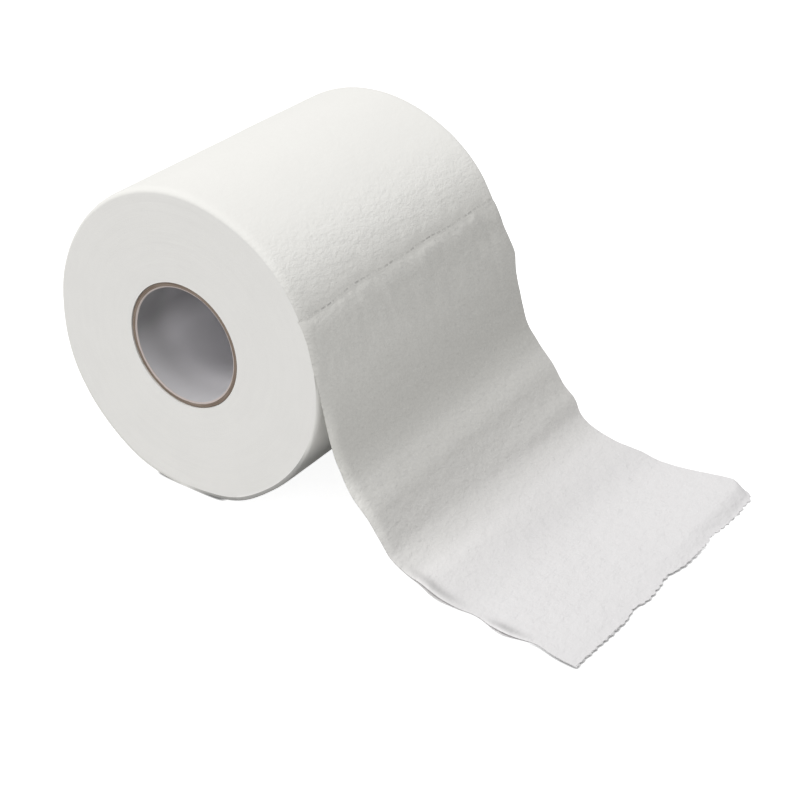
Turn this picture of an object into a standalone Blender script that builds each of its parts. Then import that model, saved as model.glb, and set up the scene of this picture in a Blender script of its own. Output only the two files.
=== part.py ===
"""Toilet paper roll lying on its side, with its last sheet drawn out along the surface.

The paper is one continuous web: the turns wound on the tube and the loose sheet
that leaves them are one solid. The board tube that they are wound on is the other.

Frame: metres, +Z up. The origin is on the surface under the middle of the roll, at
the centre of the small flat spot that the soft roll settles on. The roll's axis lies
along Y, and the loose sheet leaves the roll on its +X side.
Angles on the roll are measured about its axis, from +X towards +Z.
"""

import math
import random
from dataclasses import dataclass, fields

import bmesh
import bpy
from mathutils import Matrix, Vector

# Paper
PAPER_WIDTH = 0.100
ROLL_RADIUS = 0.0488
SHEET_LENGTH = 0.140
WEB_THICKNESS = 0.0005

# The settled roll
FLAT_SPOT_DEPTH = 0.0005
SAG_BULGE = 0.0007
HIP_BULGE = 0.0004
CROWN_BULGE = 0.0005
RIM_DROP = 0.0014
RIM_DEPTH = 0.0026

# Turns, as they show on the roll's ends
TURN_PITCH = 0.0028
TURN_RELIEF = 0.00050
TURN_STEP_SHARE = 0.14
WOUND_INSET = 0.0002

# Board tube, which sits a little off the middle of the roll
TUBE_SHIFT = -0.0006
TUBE_RISE = 0.0008
TUBE_RADIUS = 0.0198
TUBE_WALL = 0.0016
TUBE_RECESS = 0.0003
TUBE_EDGE = 0.0003
TUBE_FIT = 0.0003
SEAM_DEPTH = 0.0003
SEAM_PITCH = 0.088

# Perforation, the same across the roll and along the torn end
PERFORATION_ANGLE = math.radians(30.0)
PERFORATION_PITCH = 0.0028
SLIT_LENGTH = 0.0019
SLIT_WIDTH = 0.0005
SLIT_DEPTH = 0.00045
SHEET_LIP = 0.00015
TEAR_DEPTH = 0.0008
TEAR_DIP = 0.0017
TEAR_CORNER = 0.0028

# Loose sheet
SHEET_CLEARANCE = 0.0002
RIDGE_HEIGHT = 0.0011
RIDGE_SPREAD = 0.0036
FOLD_HEIGHT = 0.0010
FOLD_SPREAD = 0.0045
CURL_HEIGHT = 0.0028
CURL_SPREAD = 0.0240
SLACK_HEIGHT = 0.0018
SLACK_SPREAD = 0.0065
SETTLE_RUN = 0.012
FAN_OUT = 0.0042
FAN_START_SHARE = 0.567
FAN_END_SHARE = 0.823

OVERRUN = 0.002
MERGE = 0.000002

# Facets
ROUND_STEPS = 64
RIM_STEPS = 3
TUBE_STEPS = 48
SHEET_ROWS = 50
SHEET_COLUMNS = 10
SEAM_POINTS = 24

ROLL_NAME = "toilet_paper_roll"
TISSUE_COLOUR = (0.88, 0.875, 0.86)
BOARD_COLOUR = (0.42, 0.35, 0.28)
TISSUE_ROUGHNESS = 0.95
BOARD_ROUGHNESS = 0.90


@dataclass(frozen=True)
class Swell:
    """A place where the soft roll swells from a true circle."""

    angle: float
    spread: float
    height: float


SWELLS = (
    Swell(math.radians(248.0), math.radians(11.0), SAG_BULGE),
    Swell(math.radians(292.0), math.radians(11.0), SAG_BULGE),
    Swell(math.radians(222.0), math.radians(22.0), HIP_BULGE),
    Swell(math.radians(50.0), math.radians(16.0), HIP_BULGE),
    Swell(math.radians(103.0), math.radians(30.0), CROWN_BULGE),
)


@dataclass(frozen=True)
class TearDip:
    """A stretch of the torn end that lies back from its line.

    It is at a share of the paper's width from the near edge, and as deep as its share
    of the deepest dip.
    """

    share: float
    spread_share: float
    depth_share: float


TEAR_DIPS = (
    TearDip(0.31, 0.045, 0.70),
    TearDip(0.42, 0.020, 0.35),
    TearDip(0.49, 0.050, 1.00),
    TearDip(0.74, 0.040, 0.47),
    TearDip(0.93, 0.020, 0.35),
)

NOTCH_SHARES = (0.6, 1.2)


@dataclass(frozen=True)
class SheetEdge:
    """How one side edge of the loose sheet runs from the roll down to the surface.

    The shares are of the roll's radius. Angles are headings along the sheet, with 0
    along +X and a quarter turn below it straight down.
    """

    peel_angle: float
    hang_run_share: float
    hang_angle: float
    flare_radius_share: float
    slope_angle: float
    heel_angle: float
    heel_radius_share: float
    toe_angle: float
    toe_radius_share: float


NEAR_EDGE = SheetEdge(
    peel_angle=math.radians(14.0),
    hang_run_share=0.484,
    hang_angle=math.radians(-75.7),
    flare_radius_share=0.742,
    slope_angle=math.radians(-43.6),
    heel_angle=math.radians(-59.4),
    heel_radius_share=0.092,
    toe_angle=math.radians(-35.6),
    toe_radius_share=0.586,
)

FAR_EDGE = SheetEdge(
    peel_angle=math.radians(20.5),
    hang_run_share=0.664,
    hang_angle=math.radians(-71.9),
    flare_radius_share=0.218,
    slope_angle=math.radians(-46.7),
    heel_angle=math.radians(-50.6),
    heel_radius_share=0.250,
    toe_angle=math.radians(-19.5),
    toe_radius_share=1.640,
)


@dataclass(frozen=True)
class Fold:
    """A soft ridge across the loose sheet.

    Its line crosses the sheet from near_share to far_share of the sheet's length. It is
    at its full height at peak_share of the paper's width, and fades over fade_share.
    """

    near_share: float
    far_share: float
    peak_share: float
    fade_share: float
    height: float
    spread: float


FOLDS = (
    Fold(0.439, 0.409, 0.50, 0.90, RIDGE_HEIGHT, RIDGE_SPREAD),
    Fold(0.528, 0.508, 0.85, 0.75, RIDGE_HEIGHT, RIDGE_SPREAD),
    Fold(0.626, 0.646, 0.10, 0.60, FOLD_HEIGHT, FOLD_SPREAD),
    Fold(0.119, 0.119, 1.00, 0.35, SLACK_HEIGHT, SLACK_SPREAD),
    Fold(0.784, 0.803, 0.15, 0.55, FOLD_HEIGHT, CURL_SPREAD),
    Fold(0.981, 0.981, 1.05, 0.75, CURL_HEIGHT, CURL_SPREAD),
)

HALF_WIDTH = PAPER_WIDTH / 2
WOUND_HALF_WIDTH = HALF_WIDTH - WOUND_INSET
TUBE_HALF_LENGTH = WOUND_HALF_WIDTH - TUBE_RECESS
AXIS_HEIGHT = ROLL_RADIUS - FLAT_SPOT_DEPTH
BORE_RADIUS = TUBE_RADIUS + TUBE_FIT
FACE_RADIUS = ROLL_RADIUS - RIM_DROP
SHEET_RADIUS = ROLL_RADIUS + SHEET_LIP
TUBE_PLACE = (TUBE_SHIFT, 0.0, AXIS_HEIGHT + TUBE_RISE)


def smooth(share):
    """Ease a share from 0 to 1, held at both ends."""
    share = min(max(share, 0.0), 1.0)
    return share * share * (3.0 - 2.0 * share)


def blend(low, high, share):
    """Return the value that lies share of the way from low to high."""
    return low + (high - low) * share


def hump(distance, spread):
    """Return a soft hump, 1 at no distance and fading over the spread."""
    return math.exp(-((distance / spread) ** 2))


def collection(name):
    """Add a collection to the scene."""
    group = bpy.data.collections.new(name)
    bpy.context.scene.collection.children.link(group)
    return group


def material(name, colour, roughness):
    """Make a plain Principled material."""
    finish = bpy.data.materials.new(name)
    finish.use_nodes = True
    shader = finish.node_tree.nodes["Principled BSDF"]
    shader.inputs["Base Color"].default_value = (*colour, 1.0)
    shader.inputs["Roughness"].default_value = roughness
    shader.inputs["Metallic"].default_value = 0.0
    finish.diffuse_color = (*colour, 1.0)
    return finish


def mesh_object(bm, name, group):
    """Turn a bmesh into an object of a collection."""
    mesh = bpy.data.meshes.new(name)
    bm.to_mesh(mesh)
    bm.free()
    item = bpy.data.objects.new(name, mesh)
    group.objects.link(item)
    return item


def shade(item, finish):
    """Give an object its material and smooth shading between sharp edges."""
    item.data.materials.append(finish)
    item.data.shade_smooth()
    item.data.set_sharp_from_angle(angle=math.radians(35.0))


def as_cutter(item):
    """Mark an object as one that only shapes another."""
    item.hide_render = True
    item.display_type = "WIRE"


def boolean(item, other, operation):
    """Shape one object with another, which is left as a wire guide."""
    step = item.modifiers.new(other.name, "BOOLEAN")
    step.operation = operation
    step.solver = "EXACT"
    step.object = other
    as_cutter(other)


def rim_drop(along):
    """Return how far the rounded rim lies inside the roll's full radius."""
    into_rim = (abs(along) - (HALF_WIDTH - RIM_DEPTH)) / RIM_DEPTH
    into_rim = min(max(into_rim, 0.0), 1.0)
    return RIM_DROP * (1.0 - math.sqrt(1.0 - into_rim**2))


# Wound turns


def rim_steps():
    """Return the rounded rim from its outer line to the end, as (drop, depth)."""
    steps = []
    for step in range(RIM_STEPS + 1):
        turn = math.pi / 2 * step / RIM_STEPS
        steps.append((RIM_DROP * (1.0 - math.cos(turn)), RIM_DEPTH * math.sin(turn)))
    return steps


def turn_profile(pitch, turns):
    """Return one end's rows, from the bore to the rim, as (radius, inset, on_end).

    Each turn slopes down outwards from its crown and steps up to the next one. There is
    one turn more than shows, which the winding draws in.
    """
    rows = [(BORE_RADIUS, 0.0, True)]
    for turn in range(1, turns + 2):
        crown = BORE_RADIUS + pitch * turn
        rows.append((crown - pitch * TURN_STEP_SHARE, TURN_RELIEF, True))
        rows.append((crown, 0.0, True))
    for drop, depth in reversed(rim_steps()[:-1]):
        rows.append((ROLL_RADIUS - drop, RIM_DEPTH - depth, False))
    return rows


def settle(vertex, angle):
    """Let a point of the soft roll swell, and move with the tube as far as it lies inside."""
    radius = math.hypot(vertex.co.x, vertex.co.z)
    depth_share = (radius - BORE_RADIUS) / (ROLL_RADIUS - BORE_RADIUS)
    rise = sum(swell.height * hump(angle - swell.angle, swell.spread) for swell in SWELLS)
    grown = 1.0 + rise * depth_share**2 / radius
    vertex.co.x = vertex.co.x * grown + TUBE_SHIFT * (1.0 - depth_share)
    vertex.co.z = vertex.co.z * grown + TUBE_RISE * (1.0 - depth_share)


def wind(vertex, angle, pitch):
    """Draw a point of an end in along the spiral of the turns.

    The web runs outwards as the angle falls, so after a full turn each row closes on
    the row of the next turn. Rows that pass the bore or the rim are held there.
    """
    wound = math.hypot(vertex.co.x, vertex.co.z) - pitch * angle / math.tau
    radius = min(max(wound, BORE_RADIUS), FACE_RADIUS)
    along = vertex.co.y
    if radius != wound:
        along = math.copysign(WOUND_HALF_WIDTH, along)
    vertex.co = (radius * math.cos(angle), along, radius * math.sin(angle))


def make_wound_turns(group):
    """Make the wound paper, with the spiral of its turns on both ends."""
    turns = max(round((FACE_RADIUS - BORE_RADIUS) / TURN_PITCH), 1)
    pitch = (FACE_RADIUS - BORE_RADIUS) / turns
    rows = turn_profile(pitch, turns)
    near = [(radius, inset - WOUND_HALF_WIDTH, on_end) for radius, inset, on_end in rows]
    far = [(radius, WOUND_HALF_WIDTH - inset, on_end) for radius, inset, on_end in reversed(rows)]

    bm = bmesh.new()
    end_rows = bm.verts.layers.int.new("end_rows")
    corners = []
    for radius, along, on_end in near + far:
        corner = bm.verts.new((radius, along, 0.0))
        corner[end_rows] = int(on_end)
        corners.append(corner)
    ring = [bm.edges.new(pair) for pair in zip(corners, corners[1:] + corners[:1])]
    spun = bmesh.ops.spin(
        bm,
        geom=corners + ring,
        cent=(0.0, 0.0, 0.0),
        axis=(0.0, -1.0, 0.0),
        angle=math.tau,
        steps=ROUND_STEPS,
        use_merge=False,
    )
    last = {item for item in spun["geom_last"] if isinstance(item, bmesh.types.BMVert)}
    for vertex in bm.verts:
        angle = math.atan2(vertex.co.z, vertex.co.x) % math.tau
        if vertex[end_rows]:
            wind(vertex, math.tau if vertex in last else angle, pitch)
        settle(vertex, angle)
    bmesh.ops.remove_doubles(bm, verts=bm.verts, dist=MERGE)
    bmesh.ops.recalc_face_normals(bm, faces=bm.faces)
    paper = mesh_object(bm, "tissue_paper", group)
    paper.location.z = AXIS_HEIGHT
    return paper


# Loose sheet


def run_fall(length, start, end):
    """Return how far a run falls while its heading turns evenly from start to end."""
    if math.isclose(start, end):
        return -length * math.sin(start)
    return length * (math.cos(end) - math.cos(start)) / (end - start)


def run_reach(length, start, end):
    """Return how far a run reaches out while its heading turns evenly from start to end."""
    if math.isclose(start, end):
        return length * math.cos(start)
    return length * (math.sin(end) - math.sin(start)) / (end - start)


def edge_between(share):
    """Return the sheet's course at a share of the paper's width from the near edge."""
    values = {}
    for field in fields(SheetEdge):
        values[field.name] = blend(getattr(NEAR_EDGE, field.name), getattr(FAR_EDGE, field.name), share)
    return SheetEdge(**values)


def sheet_runs(edge):
    """Return the sheet's runs as (length, start heading, end heading).

    It follows the roll, hangs, flares into a slope, folds at the heel, and eases onto
    the surface. The slope is as long as the drop to the surface needs.
    """
    wrap_heading = PERFORATION_ANGLE - math.pi / 2
    peel_heading = edge.peel_angle - math.pi / 2
    flare = edge.flare_radius_share * ROLL_RADIUS * (edge.slope_angle - edge.hang_angle)
    heel = edge.heel_radius_share * ROLL_RADIUS * (edge.toe_angle - edge.heel_angle)
    toe = edge.toe_radius_share * ROLL_RADIUS * -edge.toe_angle
    upper = [
        (edge.hang_run_share * ROLL_RADIUS, peel_heading, edge.hang_angle),
        (flare, edge.hang_angle, edge.slope_angle),
    ]
    lower = [(heel, edge.heel_angle, edge.toe_angle), (toe, edge.toe_angle, 0.0)]
    height = AXIS_HEIGHT + SHEET_RADIUS * math.sin(edge.peel_angle) - WEB_THICKNESS - SHEET_CLEARANCE
    slope_fall = height - sum(run_fall(*run) for run in upper + lower)
    slope = slope_fall / run_fall(1.0, edge.slope_angle, edge.heel_angle)
    wrap = (SHEET_RADIUS * (PERFORATION_ANGLE - edge.peel_angle), wrap_heading, peel_heading)
    return [wrap, *upper, (slope, edge.slope_angle, edge.heel_angle), *lower]


def along_runs(runs, travel):
    """Return the place (x, z) and the heading after a length of travel down the sheet."""
    place_x = SHEET_RADIUS * math.cos(PERFORATION_ANGLE)
    place_z = SHEET_RADIUS * math.sin(PERFORATION_ANGLE)
    heading = runs[0][1]
    for length, start, end in runs:
        part = min(travel, length)
        heading = blend(start, end, part / length)
        place_x += run_reach(part, start, heading)
        place_z -= run_fall(part, start, heading)
        travel -= part
        if travel <= 0.0:
            return place_x, place_z, heading
    return place_x + travel, place_z, heading


def fold_rise(share, travel):
    """Return how far the folds raise the sheet above its course."""
    rise = 0.0
    for fold in FOLDS:
        line = blend(fold.near_share, fold.far_share, share) * SHEET_LENGTH
        strength = 1.0 - smooth(abs(share - fold.peak_share) / fold.fade_share)
        rise += fold.height * strength * hump(travel - line, fold.spread)
    return rise


def sheet_place(along, travel):
    """Return the point and the heading of the loose sheet's upper face."""
    share = (along + HALF_WIDTH) / PAPER_WIDTH
    runs = sheet_runs(edge_between(share))
    place_x, place_z, heading = along_runs(runs, travel)
    off_roll = smooth((travel - runs[0][0]) / SETTLE_RUN)
    rise = fold_rise(share, travel) * smooth(travel / SETTLE_RUN) - rim_drop(along) * (1.0 - off_roll)
    fan_run = (travel / SHEET_LENGTH - FAN_START_SHARE) / (FAN_END_SHARE - FAN_START_SHARE)
    aside = along - FAN_OUT * (1.0 - share) * smooth(fan_run)
    point = Vector((place_x - rise * math.sin(heading), aside, place_z + rise * math.cos(heading)))
    return point, heading


def torn_length(along):
    """Return the length of the sheet where its torn end wanders, and rounds off at one corner."""
    share = (along + HALF_WIDTH) / PAPER_WIDTH
    dip = sum(dip.depth_share * hump(share - dip.share, dip.spread_share) for dip in TEAR_DIPS)
    into_corner = min(max(1.0 - (HALF_WIDTH - along) / (2 * TEAR_CORNER), 0.0), 1.0)
    return SHEET_LENGTH - TEAR_DIP * dip - TEAR_CORNER * into_corner**2


def sheet_columns():
    """Return the places along the roll's axis where the sheet's grid lines run."""
    rim = [HALF_WIDTH - RIM_DEPTH + depth for drop, depth in rim_steps()]
    flat = HALF_WIDTH - RIM_DEPTH
    middle = [blend(-flat, flat, column / SHEET_COLUMNS) for column in range(1, SHEET_COLUMNS)]
    return sorted([-along for along in rim] + middle + rim)


def make_loose_sheet(group):
    """Make the loose sheet as a grid laid along its course and given its thickness."""
    columns = sheet_columns()
    bm = bmesh.new()
    bmesh.ops.create_grid(bm, x_segments=SHEET_ROWS, y_segments=len(columns) - 1, size=0.5)
    for vertex in bm.verts:
        along = columns[round((vertex.co.y + 0.5) * (len(columns) - 1))]
        travel = (vertex.co.x + 0.5) * torn_length(along)
        vertex.co = sheet_place(along, travel)[0]
    sheet = mesh_object(bm, "loose_sheet", group)
    sheet.location.z = AXIS_HEIGHT
    thickness = sheet.modifiers.new("thickness", "SOLIDIFY")
    thickness.thickness = WEB_THICKNESS
    thickness.offset = -1.0
    thickness.use_even_offset = True
    return sheet


# Cutters


def slit_places():
    """Return the middles of the perforation's slits, as places along the axis."""
    count = math.floor((PAPER_WIDTH - SLIT_LENGTH) / PERFORATION_PITCH)
    return [PERFORATION_PITCH * (slit - (count - 1) / 2) for slit in range(count)]


def box_cutter(name, group, boxes):
    """Make a cutter of separate boxes, each given as (matrix, size)."""
    bm = bmesh.new()
    for place, size in boxes:
        bmesh.ops.create_cube(bm, size=1.0, matrix=place @ Matrix.Diagonal((*size, 1.0)))
    return mesh_object(bm, name, group)


def make_slits(group):
    """Make the row of slits where this sheet joins the next one on the roll."""
    turned = Matrix.Rotation(-PERFORATION_ANGLE, 4, "Y")
    boxes = []
    for along in slit_places():
        place = Matrix.Translation((0.0, along, AXIS_HEIGHT)) @ turned
        boxes.append((place @ Matrix.Translation((ROLL_RADIUS, 0.0, 0.0)),
                      (2 * SLIT_DEPTH, SLIT_LENGTH, SLIT_WIDTH)))
    return box_cutter("perforation_slits", group, boxes)


def make_tear(group):
    """Make the notches between the small tabs of the torn end."""
    chance = random.Random(4)
    boxes = []
    for along in slit_places():
        depth = TEAR_DEPTH * chance.uniform(*NOTCH_SHARES)
        point, heading = sheet_place(along, torn_length(along))
        place = Matrix.Translation(point + Vector((0.0, 0.0, AXIS_HEIGHT))) @ Matrix.Rotation(-heading, 4, "Y")
        boxes.append((place @ Matrix.Translation((OVERRUN - depth, 0.0, 0.0)),
                      (2 * OVERRUN, SLIT_LENGTH, 2 * OVERRUN)))
    return box_cutter("tear_notches", group, boxes)


def make_surface(group):
    """Make the block whose top presses the flat spot into the roll."""
    place = Matrix.Translation((0.0, 0.0, -OVERRUN))
    size = (ROLL_RADIUS, PAPER_WIDTH + 2 * OVERRUN, 2 * OVERRUN)
    return box_cutter("resting_surface", group, [(place, size)])


# Board tube


def make_tube(group):
    """Turn the board tube from its wall's section."""
    inner = TUBE_RADIUS - TUBE_WALL
    section = [
        (TUBE_RADIUS - TUBE_EDGE, TUBE_HALF_LENGTH),
        (TUBE_RADIUS, TUBE_HALF_LENGTH - TUBE_EDGE),
        (TUBE_RADIUS, TUBE_EDGE - TUBE_HALF_LENGTH),
        (TUBE_RADIUS - TUBE_EDGE, -TUBE_HALF_LENGTH),
        (inner + TUBE_EDGE, -TUBE_HALF_LENGTH),
        (inner, TUBE_EDGE - TUBE_HALF_LENGTH),
        (inner, TUBE_HALF_LENGTH - TUBE_EDGE),
        (inner + TUBE_EDGE, TUBE_HALF_LENGTH),
    ]
    bm = bmesh.new()
    corners = [bm.verts.new((radius, 0.0, along)) for radius, along in section]
    for pair in zip(corners, corners[1:] + corners[:1]):
        bm.edges.new(pair)
    tube = mesh_object(bm, "cardboard_core", group)
    tube.location = TUBE_PLACE
    tube.rotation_euler.x = math.pi / 2
    turned = tube.modifiers.new("turned", "SCREW")
    turned.steps = TUBE_STEPS
    turned.render_steps = TUBE_STEPS
    turned.use_merge_vertices = True
    turned.merge_threshold = MERGE
    return tube


def make_seam(group):
    """Make the helical cutter of the seam between the turns of the tube's lining."""
    radius = TUBE_RADIUS - TUBE_WALL
    half_run = TUBE_HALF_LENGTH + OVERRUN
    curve = bpy.data.curves.new("lining_seam", "CURVE")
    curve.dimensions = "3D"
    curve.bevel_depth = SEAM_DEPTH
    curve.bevel_resolution = 0
    curve.use_fill_caps = True
    line = curve.splines.new("POLY")
    line.points.add(SEAM_POINTS)
    for index, point in enumerate(line.points):
        along = blend(-half_run, half_run, index / SEAM_POINTS)
        angle = math.tau * along / SEAM_PITCH
        point.co = (radius * math.cos(angle), along, radius * math.sin(angle), 1.0)
    guide = bpy.data.objects.new("lining_seam_line", curve)
    guide.location = TUBE_PLACE
    group.objects.link(guide)
    bpy.context.view_layer.update()
    evaluated = guide.evaluated_get(bpy.context.evaluated_depsgraph_get())
    mesh = bpy.data.meshes.new_from_object(evaluated)
    bm = bmesh.new()
    bm.from_mesh(mesh)
    bmesh.ops.remove_doubles(bm, verts=bm.verts, dist=MERGE)
    bpy.data.meshes.remove(mesh)
    seam = mesh_object(bm, "lining_seam", group)
    seam.matrix_world = guide.matrix_world
    bpy.data.objects.remove(guide)
    return seam


def main():
    """Build the roll."""
    for item in list(bpy.data.objects):
        bpy.data.objects.remove(item)
    roll = collection(ROLL_NAME)
    cutters = collection("cutters")

    paper = make_wound_turns(roll)
    boolean(paper, make_loose_sheet(cutters), "UNION")
    boolean(paper, make_slits(cutters), "DIFFERENCE")
    boolean(paper, make_tear(cutters), "DIFFERENCE")
    boolean(paper, make_surface(cutters), "DIFFERENCE")
    shade(paper, material("tissue", TISSUE_COLOUR, TISSUE_ROUGHNESS))

    tube = make_tube(roll)
    boolean(tube, make_seam(cutters), "DIFFERENCE")
    shade(tube, material("board", BOARD_COLOUR, BOARD_ROUGHNESS))


main()
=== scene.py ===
"""Toilet paper roll with its last sheet drawn out, dressed for a studio picture.

The board tube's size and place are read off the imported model, and the paper's main
sizes are as that model has them. Finer pieces stand for both here: the wound turns, the
two plies of the loose sheet, and the tube with its lining.

Lengths are metres and +Z is up. The roll's axis lies along Y, and the end that faces
the camera is at -Y. Angles about the axis are measured from +X towards +Z.
"""

import logging
import math
import random
from dataclasses import dataclass, fields
from enum import Enum
from typing import Sequence

import bmesh
import bpy
from mathutils import Matrix, Vector, noise


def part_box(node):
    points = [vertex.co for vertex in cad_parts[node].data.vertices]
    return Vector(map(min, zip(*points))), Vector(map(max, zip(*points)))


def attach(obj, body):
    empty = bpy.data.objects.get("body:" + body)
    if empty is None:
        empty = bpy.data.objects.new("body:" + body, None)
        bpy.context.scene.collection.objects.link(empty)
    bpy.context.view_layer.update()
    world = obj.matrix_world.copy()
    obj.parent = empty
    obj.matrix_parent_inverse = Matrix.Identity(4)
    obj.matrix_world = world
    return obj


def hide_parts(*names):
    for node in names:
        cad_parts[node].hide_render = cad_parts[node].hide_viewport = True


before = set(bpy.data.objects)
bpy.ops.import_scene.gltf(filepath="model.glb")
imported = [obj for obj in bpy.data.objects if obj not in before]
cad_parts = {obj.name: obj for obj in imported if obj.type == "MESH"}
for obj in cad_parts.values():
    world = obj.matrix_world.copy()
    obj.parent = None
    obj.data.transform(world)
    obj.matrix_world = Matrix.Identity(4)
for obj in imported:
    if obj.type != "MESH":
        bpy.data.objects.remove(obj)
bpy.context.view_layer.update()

LOG = logging.getLogger("toilet_paper_roll")
BODY = "root"
PAPER_NODE = "tissue_paper"
TUBE_NODE = "cardboard_core"
QUARTER_TURN = math.pi / 2
MERGE = 0.000002
WHITE = (1.0, 1.0, 1.0, 1.0)
NOISE_MIDDLE = 0.5
WEB_MAP = "web"
# The attribute that holds the painted shade and highlight at the near edge's lips.
PAINTED_LIP_SHADE = "valley"

Socket = bpy.types.NodeSocket
Colour = tuple[float, float, float]
Cell = tuple[float, float, float]
Span = tuple[float, float]
Tone = tuple[float, float, float, float]
Run = tuple[float, float, float]
Place = tuple[float, float, float]


def held(value: float, low: float = 0.0, high: float = 1.0) -> float:
    """Hold a value between two ends."""
    return min(max(value, low), high)


def ease(share: float) -> float:
    """Ease a share from 0 to 1, held at both ends."""
    share = held(share)
    return share * share * (3.0 - 2.0 * share)


def between(low: float, high: float, share: float) -> float:
    """Return the value that lies share of the way from low to high."""
    return low + (high - low) * share


def hump(distance: float, spread: float) -> float:
    """Return a soft hump, 1 at no distance and fading over the spread."""
    return math.exp(-((distance / spread) ** 2))


def wander(x: float, y: float = 0.0, z: float = 0.0) -> float:
    """Return smooth noise between about -1 and 1 at a place."""
    return noise.noise(Vector((x, y, z)))


def wander_round(angle: float, waves: float, along: float) -> float:
    """Return smooth noise that closes on itself round a full turn."""
    return wander(waves * math.cos(angle), waves * math.sin(angle), along)


class Slot(Enum):
    """The record's material slots."""

    TISSUE = "tissue"
    BOARD = "board"


class Ply(Enum):
    """The two plies of the loose sheet."""

    UPPER = "upper_ply"
    LOWER = "lower_ply"


@dataclass(frozen=True)
class Wave:
    """Smooth unevenness along a line: its height, its waves' length and its seed."""

    height: float
    length: float
    seed: float = 0.0

    def at(self, along: float) -> float:
        """Return the height at a place along the line."""
        return self.height * wander(along / self.length, self.seed)


@dataclass(frozen=True)
class Ripple:
    """Smooth unevenness of paper: its height, its waves' lengths across and along the web, and its seed."""

    height: float
    across: float
    along: float
    seed: float

    def at(self, across: float, along: float) -> float:
        """Return the height at a place of the web."""
        return self.height * wander(across / self.across, along / self.along, self.seed)


class PieceMaker:
    """Turns bmeshes into pieces of the scene."""

    @staticmethod
    def spin(bm: bmesh.types.BMesh, corners: list[bmesh.types.BMVert], steps: int, use_merge: bool) -> list:
        """Spin a closed section a full turn about the roll's axis.

        Args:
            bm: The mesh that holds the section's points.
            corners: The points, in order round the section.
            steps: How many steps the turn has.
            use_merge: Whether the last step closes on the first.

        Returns:
            The points and edges of the last step.
        """
        ring = [bm.edges.new(pair) for pair in zip(corners, corners[1:] + corners[:1])]
        spun = bmesh.ops.spin(
            bm,
            geom=corners + ring,
            cent=(0.0, 0.0, 0.0),
            axis=(0.0, -1.0, 0.0),
            angle=math.tau,
            steps=steps,
            use_merge=use_merge,
        )
        return spun["geom_last"]

    @staticmethod
    def close(bm: bmesh.types.BMesh) -> None:
        """Merge the points that meet at a seam, and turn the faces outwards."""
        bmesh.ops.remove_doubles(bm, verts=bm.verts, dist=MERGE)
        bmesh.ops.recalc_face_normals(bm, faces=bm.faces)

    @staticmethod
    def make(bm: bmesh.types.BMesh, name: str, finishes: Sequence[bpy.types.Material]) -> bpy.types.Object:
        """Turn a bmesh into an object at the origin.

        Args:
            bm: The mesh, which is freed.
            name: The piece's name.
            finishes: The materials, in the order of the faces' material numbers.

        Returns:
            The new object.
        """
        mesh = bpy.data.meshes.new(name)
        bm.to_mesh(mesh)
        bm.free()
        piece = bpy.data.objects.new(name, mesh)
        bpy.context.scene.collection.objects.link(piece)
        for finish in finishes:
            mesh.materials.append(finish)
        return piece

    @staticmethod
    def thicken(piece: bpy.types.Object, thickness: float) -> None:
        """Give an open sheet its thickness below its faces, and keep the result as its mesh.

        Args:
            piece: The sheet.
            thickness: How thick it becomes.
        """
        step = piece.modifiers.new("thickness", "SOLIDIFY")
        step.thickness = thickness
        step.offset = -1.0
        bpy.context.view_layer.update()
        evaluated = piece.evaluated_get(bpy.context.evaluated_depsgraph_get())
        finished = bpy.data.meshes.new_from_object(evaluated)
        piece.modifiers.clear()
        piece.data = finished

    @staticmethod
    def finish(piece: bpy.types.Object, sharp_angle: float, slot: Slot, node: str) -> None:
        """Shade a piece smooth, and set it on the body in place of a CAD node.

        Args:
            piece: The piece.
            sharp_angle: How far an edge turns before it is sharp.
            slot: Not used.
            node: The CAD node that it stands for.
        """
        piece.data.shade_smooth()
        piece.data.set_sharp_from_angle(angle=sharp_angle)
        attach(piece, BODY)
        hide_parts(node)


class Nodes:
    """A tree of shader nodes that is put together node by node."""

    def __init__(self, tree: bpy.types.NodeTree) -> None:
        """Start on a tree."""
        self.tree = tree

    def join(self, value: object, target: Socket) -> None:
        """Link a socket to a target, or set a plain value on it.

        Args:
            value: The socket or the plain value.
            target: The input that takes it.
        """
        if isinstance(value, Socket):
            self.tree.links.new(value, target)
        else:
            target.default_value = value

    def add(self, kind: str, values: dict[str, object] | None = None, **settings: object) -> bpy.types.Node:
        """Add a node.

        Args:
            kind: The node's type.
            values: A socket or a plain value for each of its inputs that is used.
            **settings: Its properties.

        Returns:
            The node.
        """
        node = self.tree.nodes.new(kind)
        for key, setting in settings.items():
            setattr(node, key, setting)
        for name, value in (values or {}).items():
            self.join(value, node.inputs[name])
        return node

    def math(self, operation: str, *values: object) -> Socket:
        """Add a Math node.

        Args:
            operation: Its operation.
            *values: A socket or a number for each of its inputs that is used.

        Returns:
            The result's socket.
        """
        node = self.add("ShaderNodeMath", operation=operation)
        for value, target in zip(values, node.inputs):
            self.join(value, target)
        return node.outputs[0]

    def product(self, *factors: Socket) -> Socket:
        """Multiply sockets with each other.

        Args:
            *factors: The sockets.

        Returns:
            The product's socket.
        """
        whole = factors[0]
        for factor in factors[1:]:
            whole = self.math("MULTIPLY", whole, factor)
        return whole

    def seen_directly(self) -> Socket:
        """Tell what the camera sees, straight, mirrored or through glass.

        Returns:
            A socket that is 1 for it.
        """
        path = self.add("ShaderNodeLightPath")
        seen = path.outputs["Is Camera Ray"]
        for name in ("Is Glossy Ray", "Is Transmission Ray"):
            seen = self.math("MAXIMUM", seen, path.outputs[name])
        return seen


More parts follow.
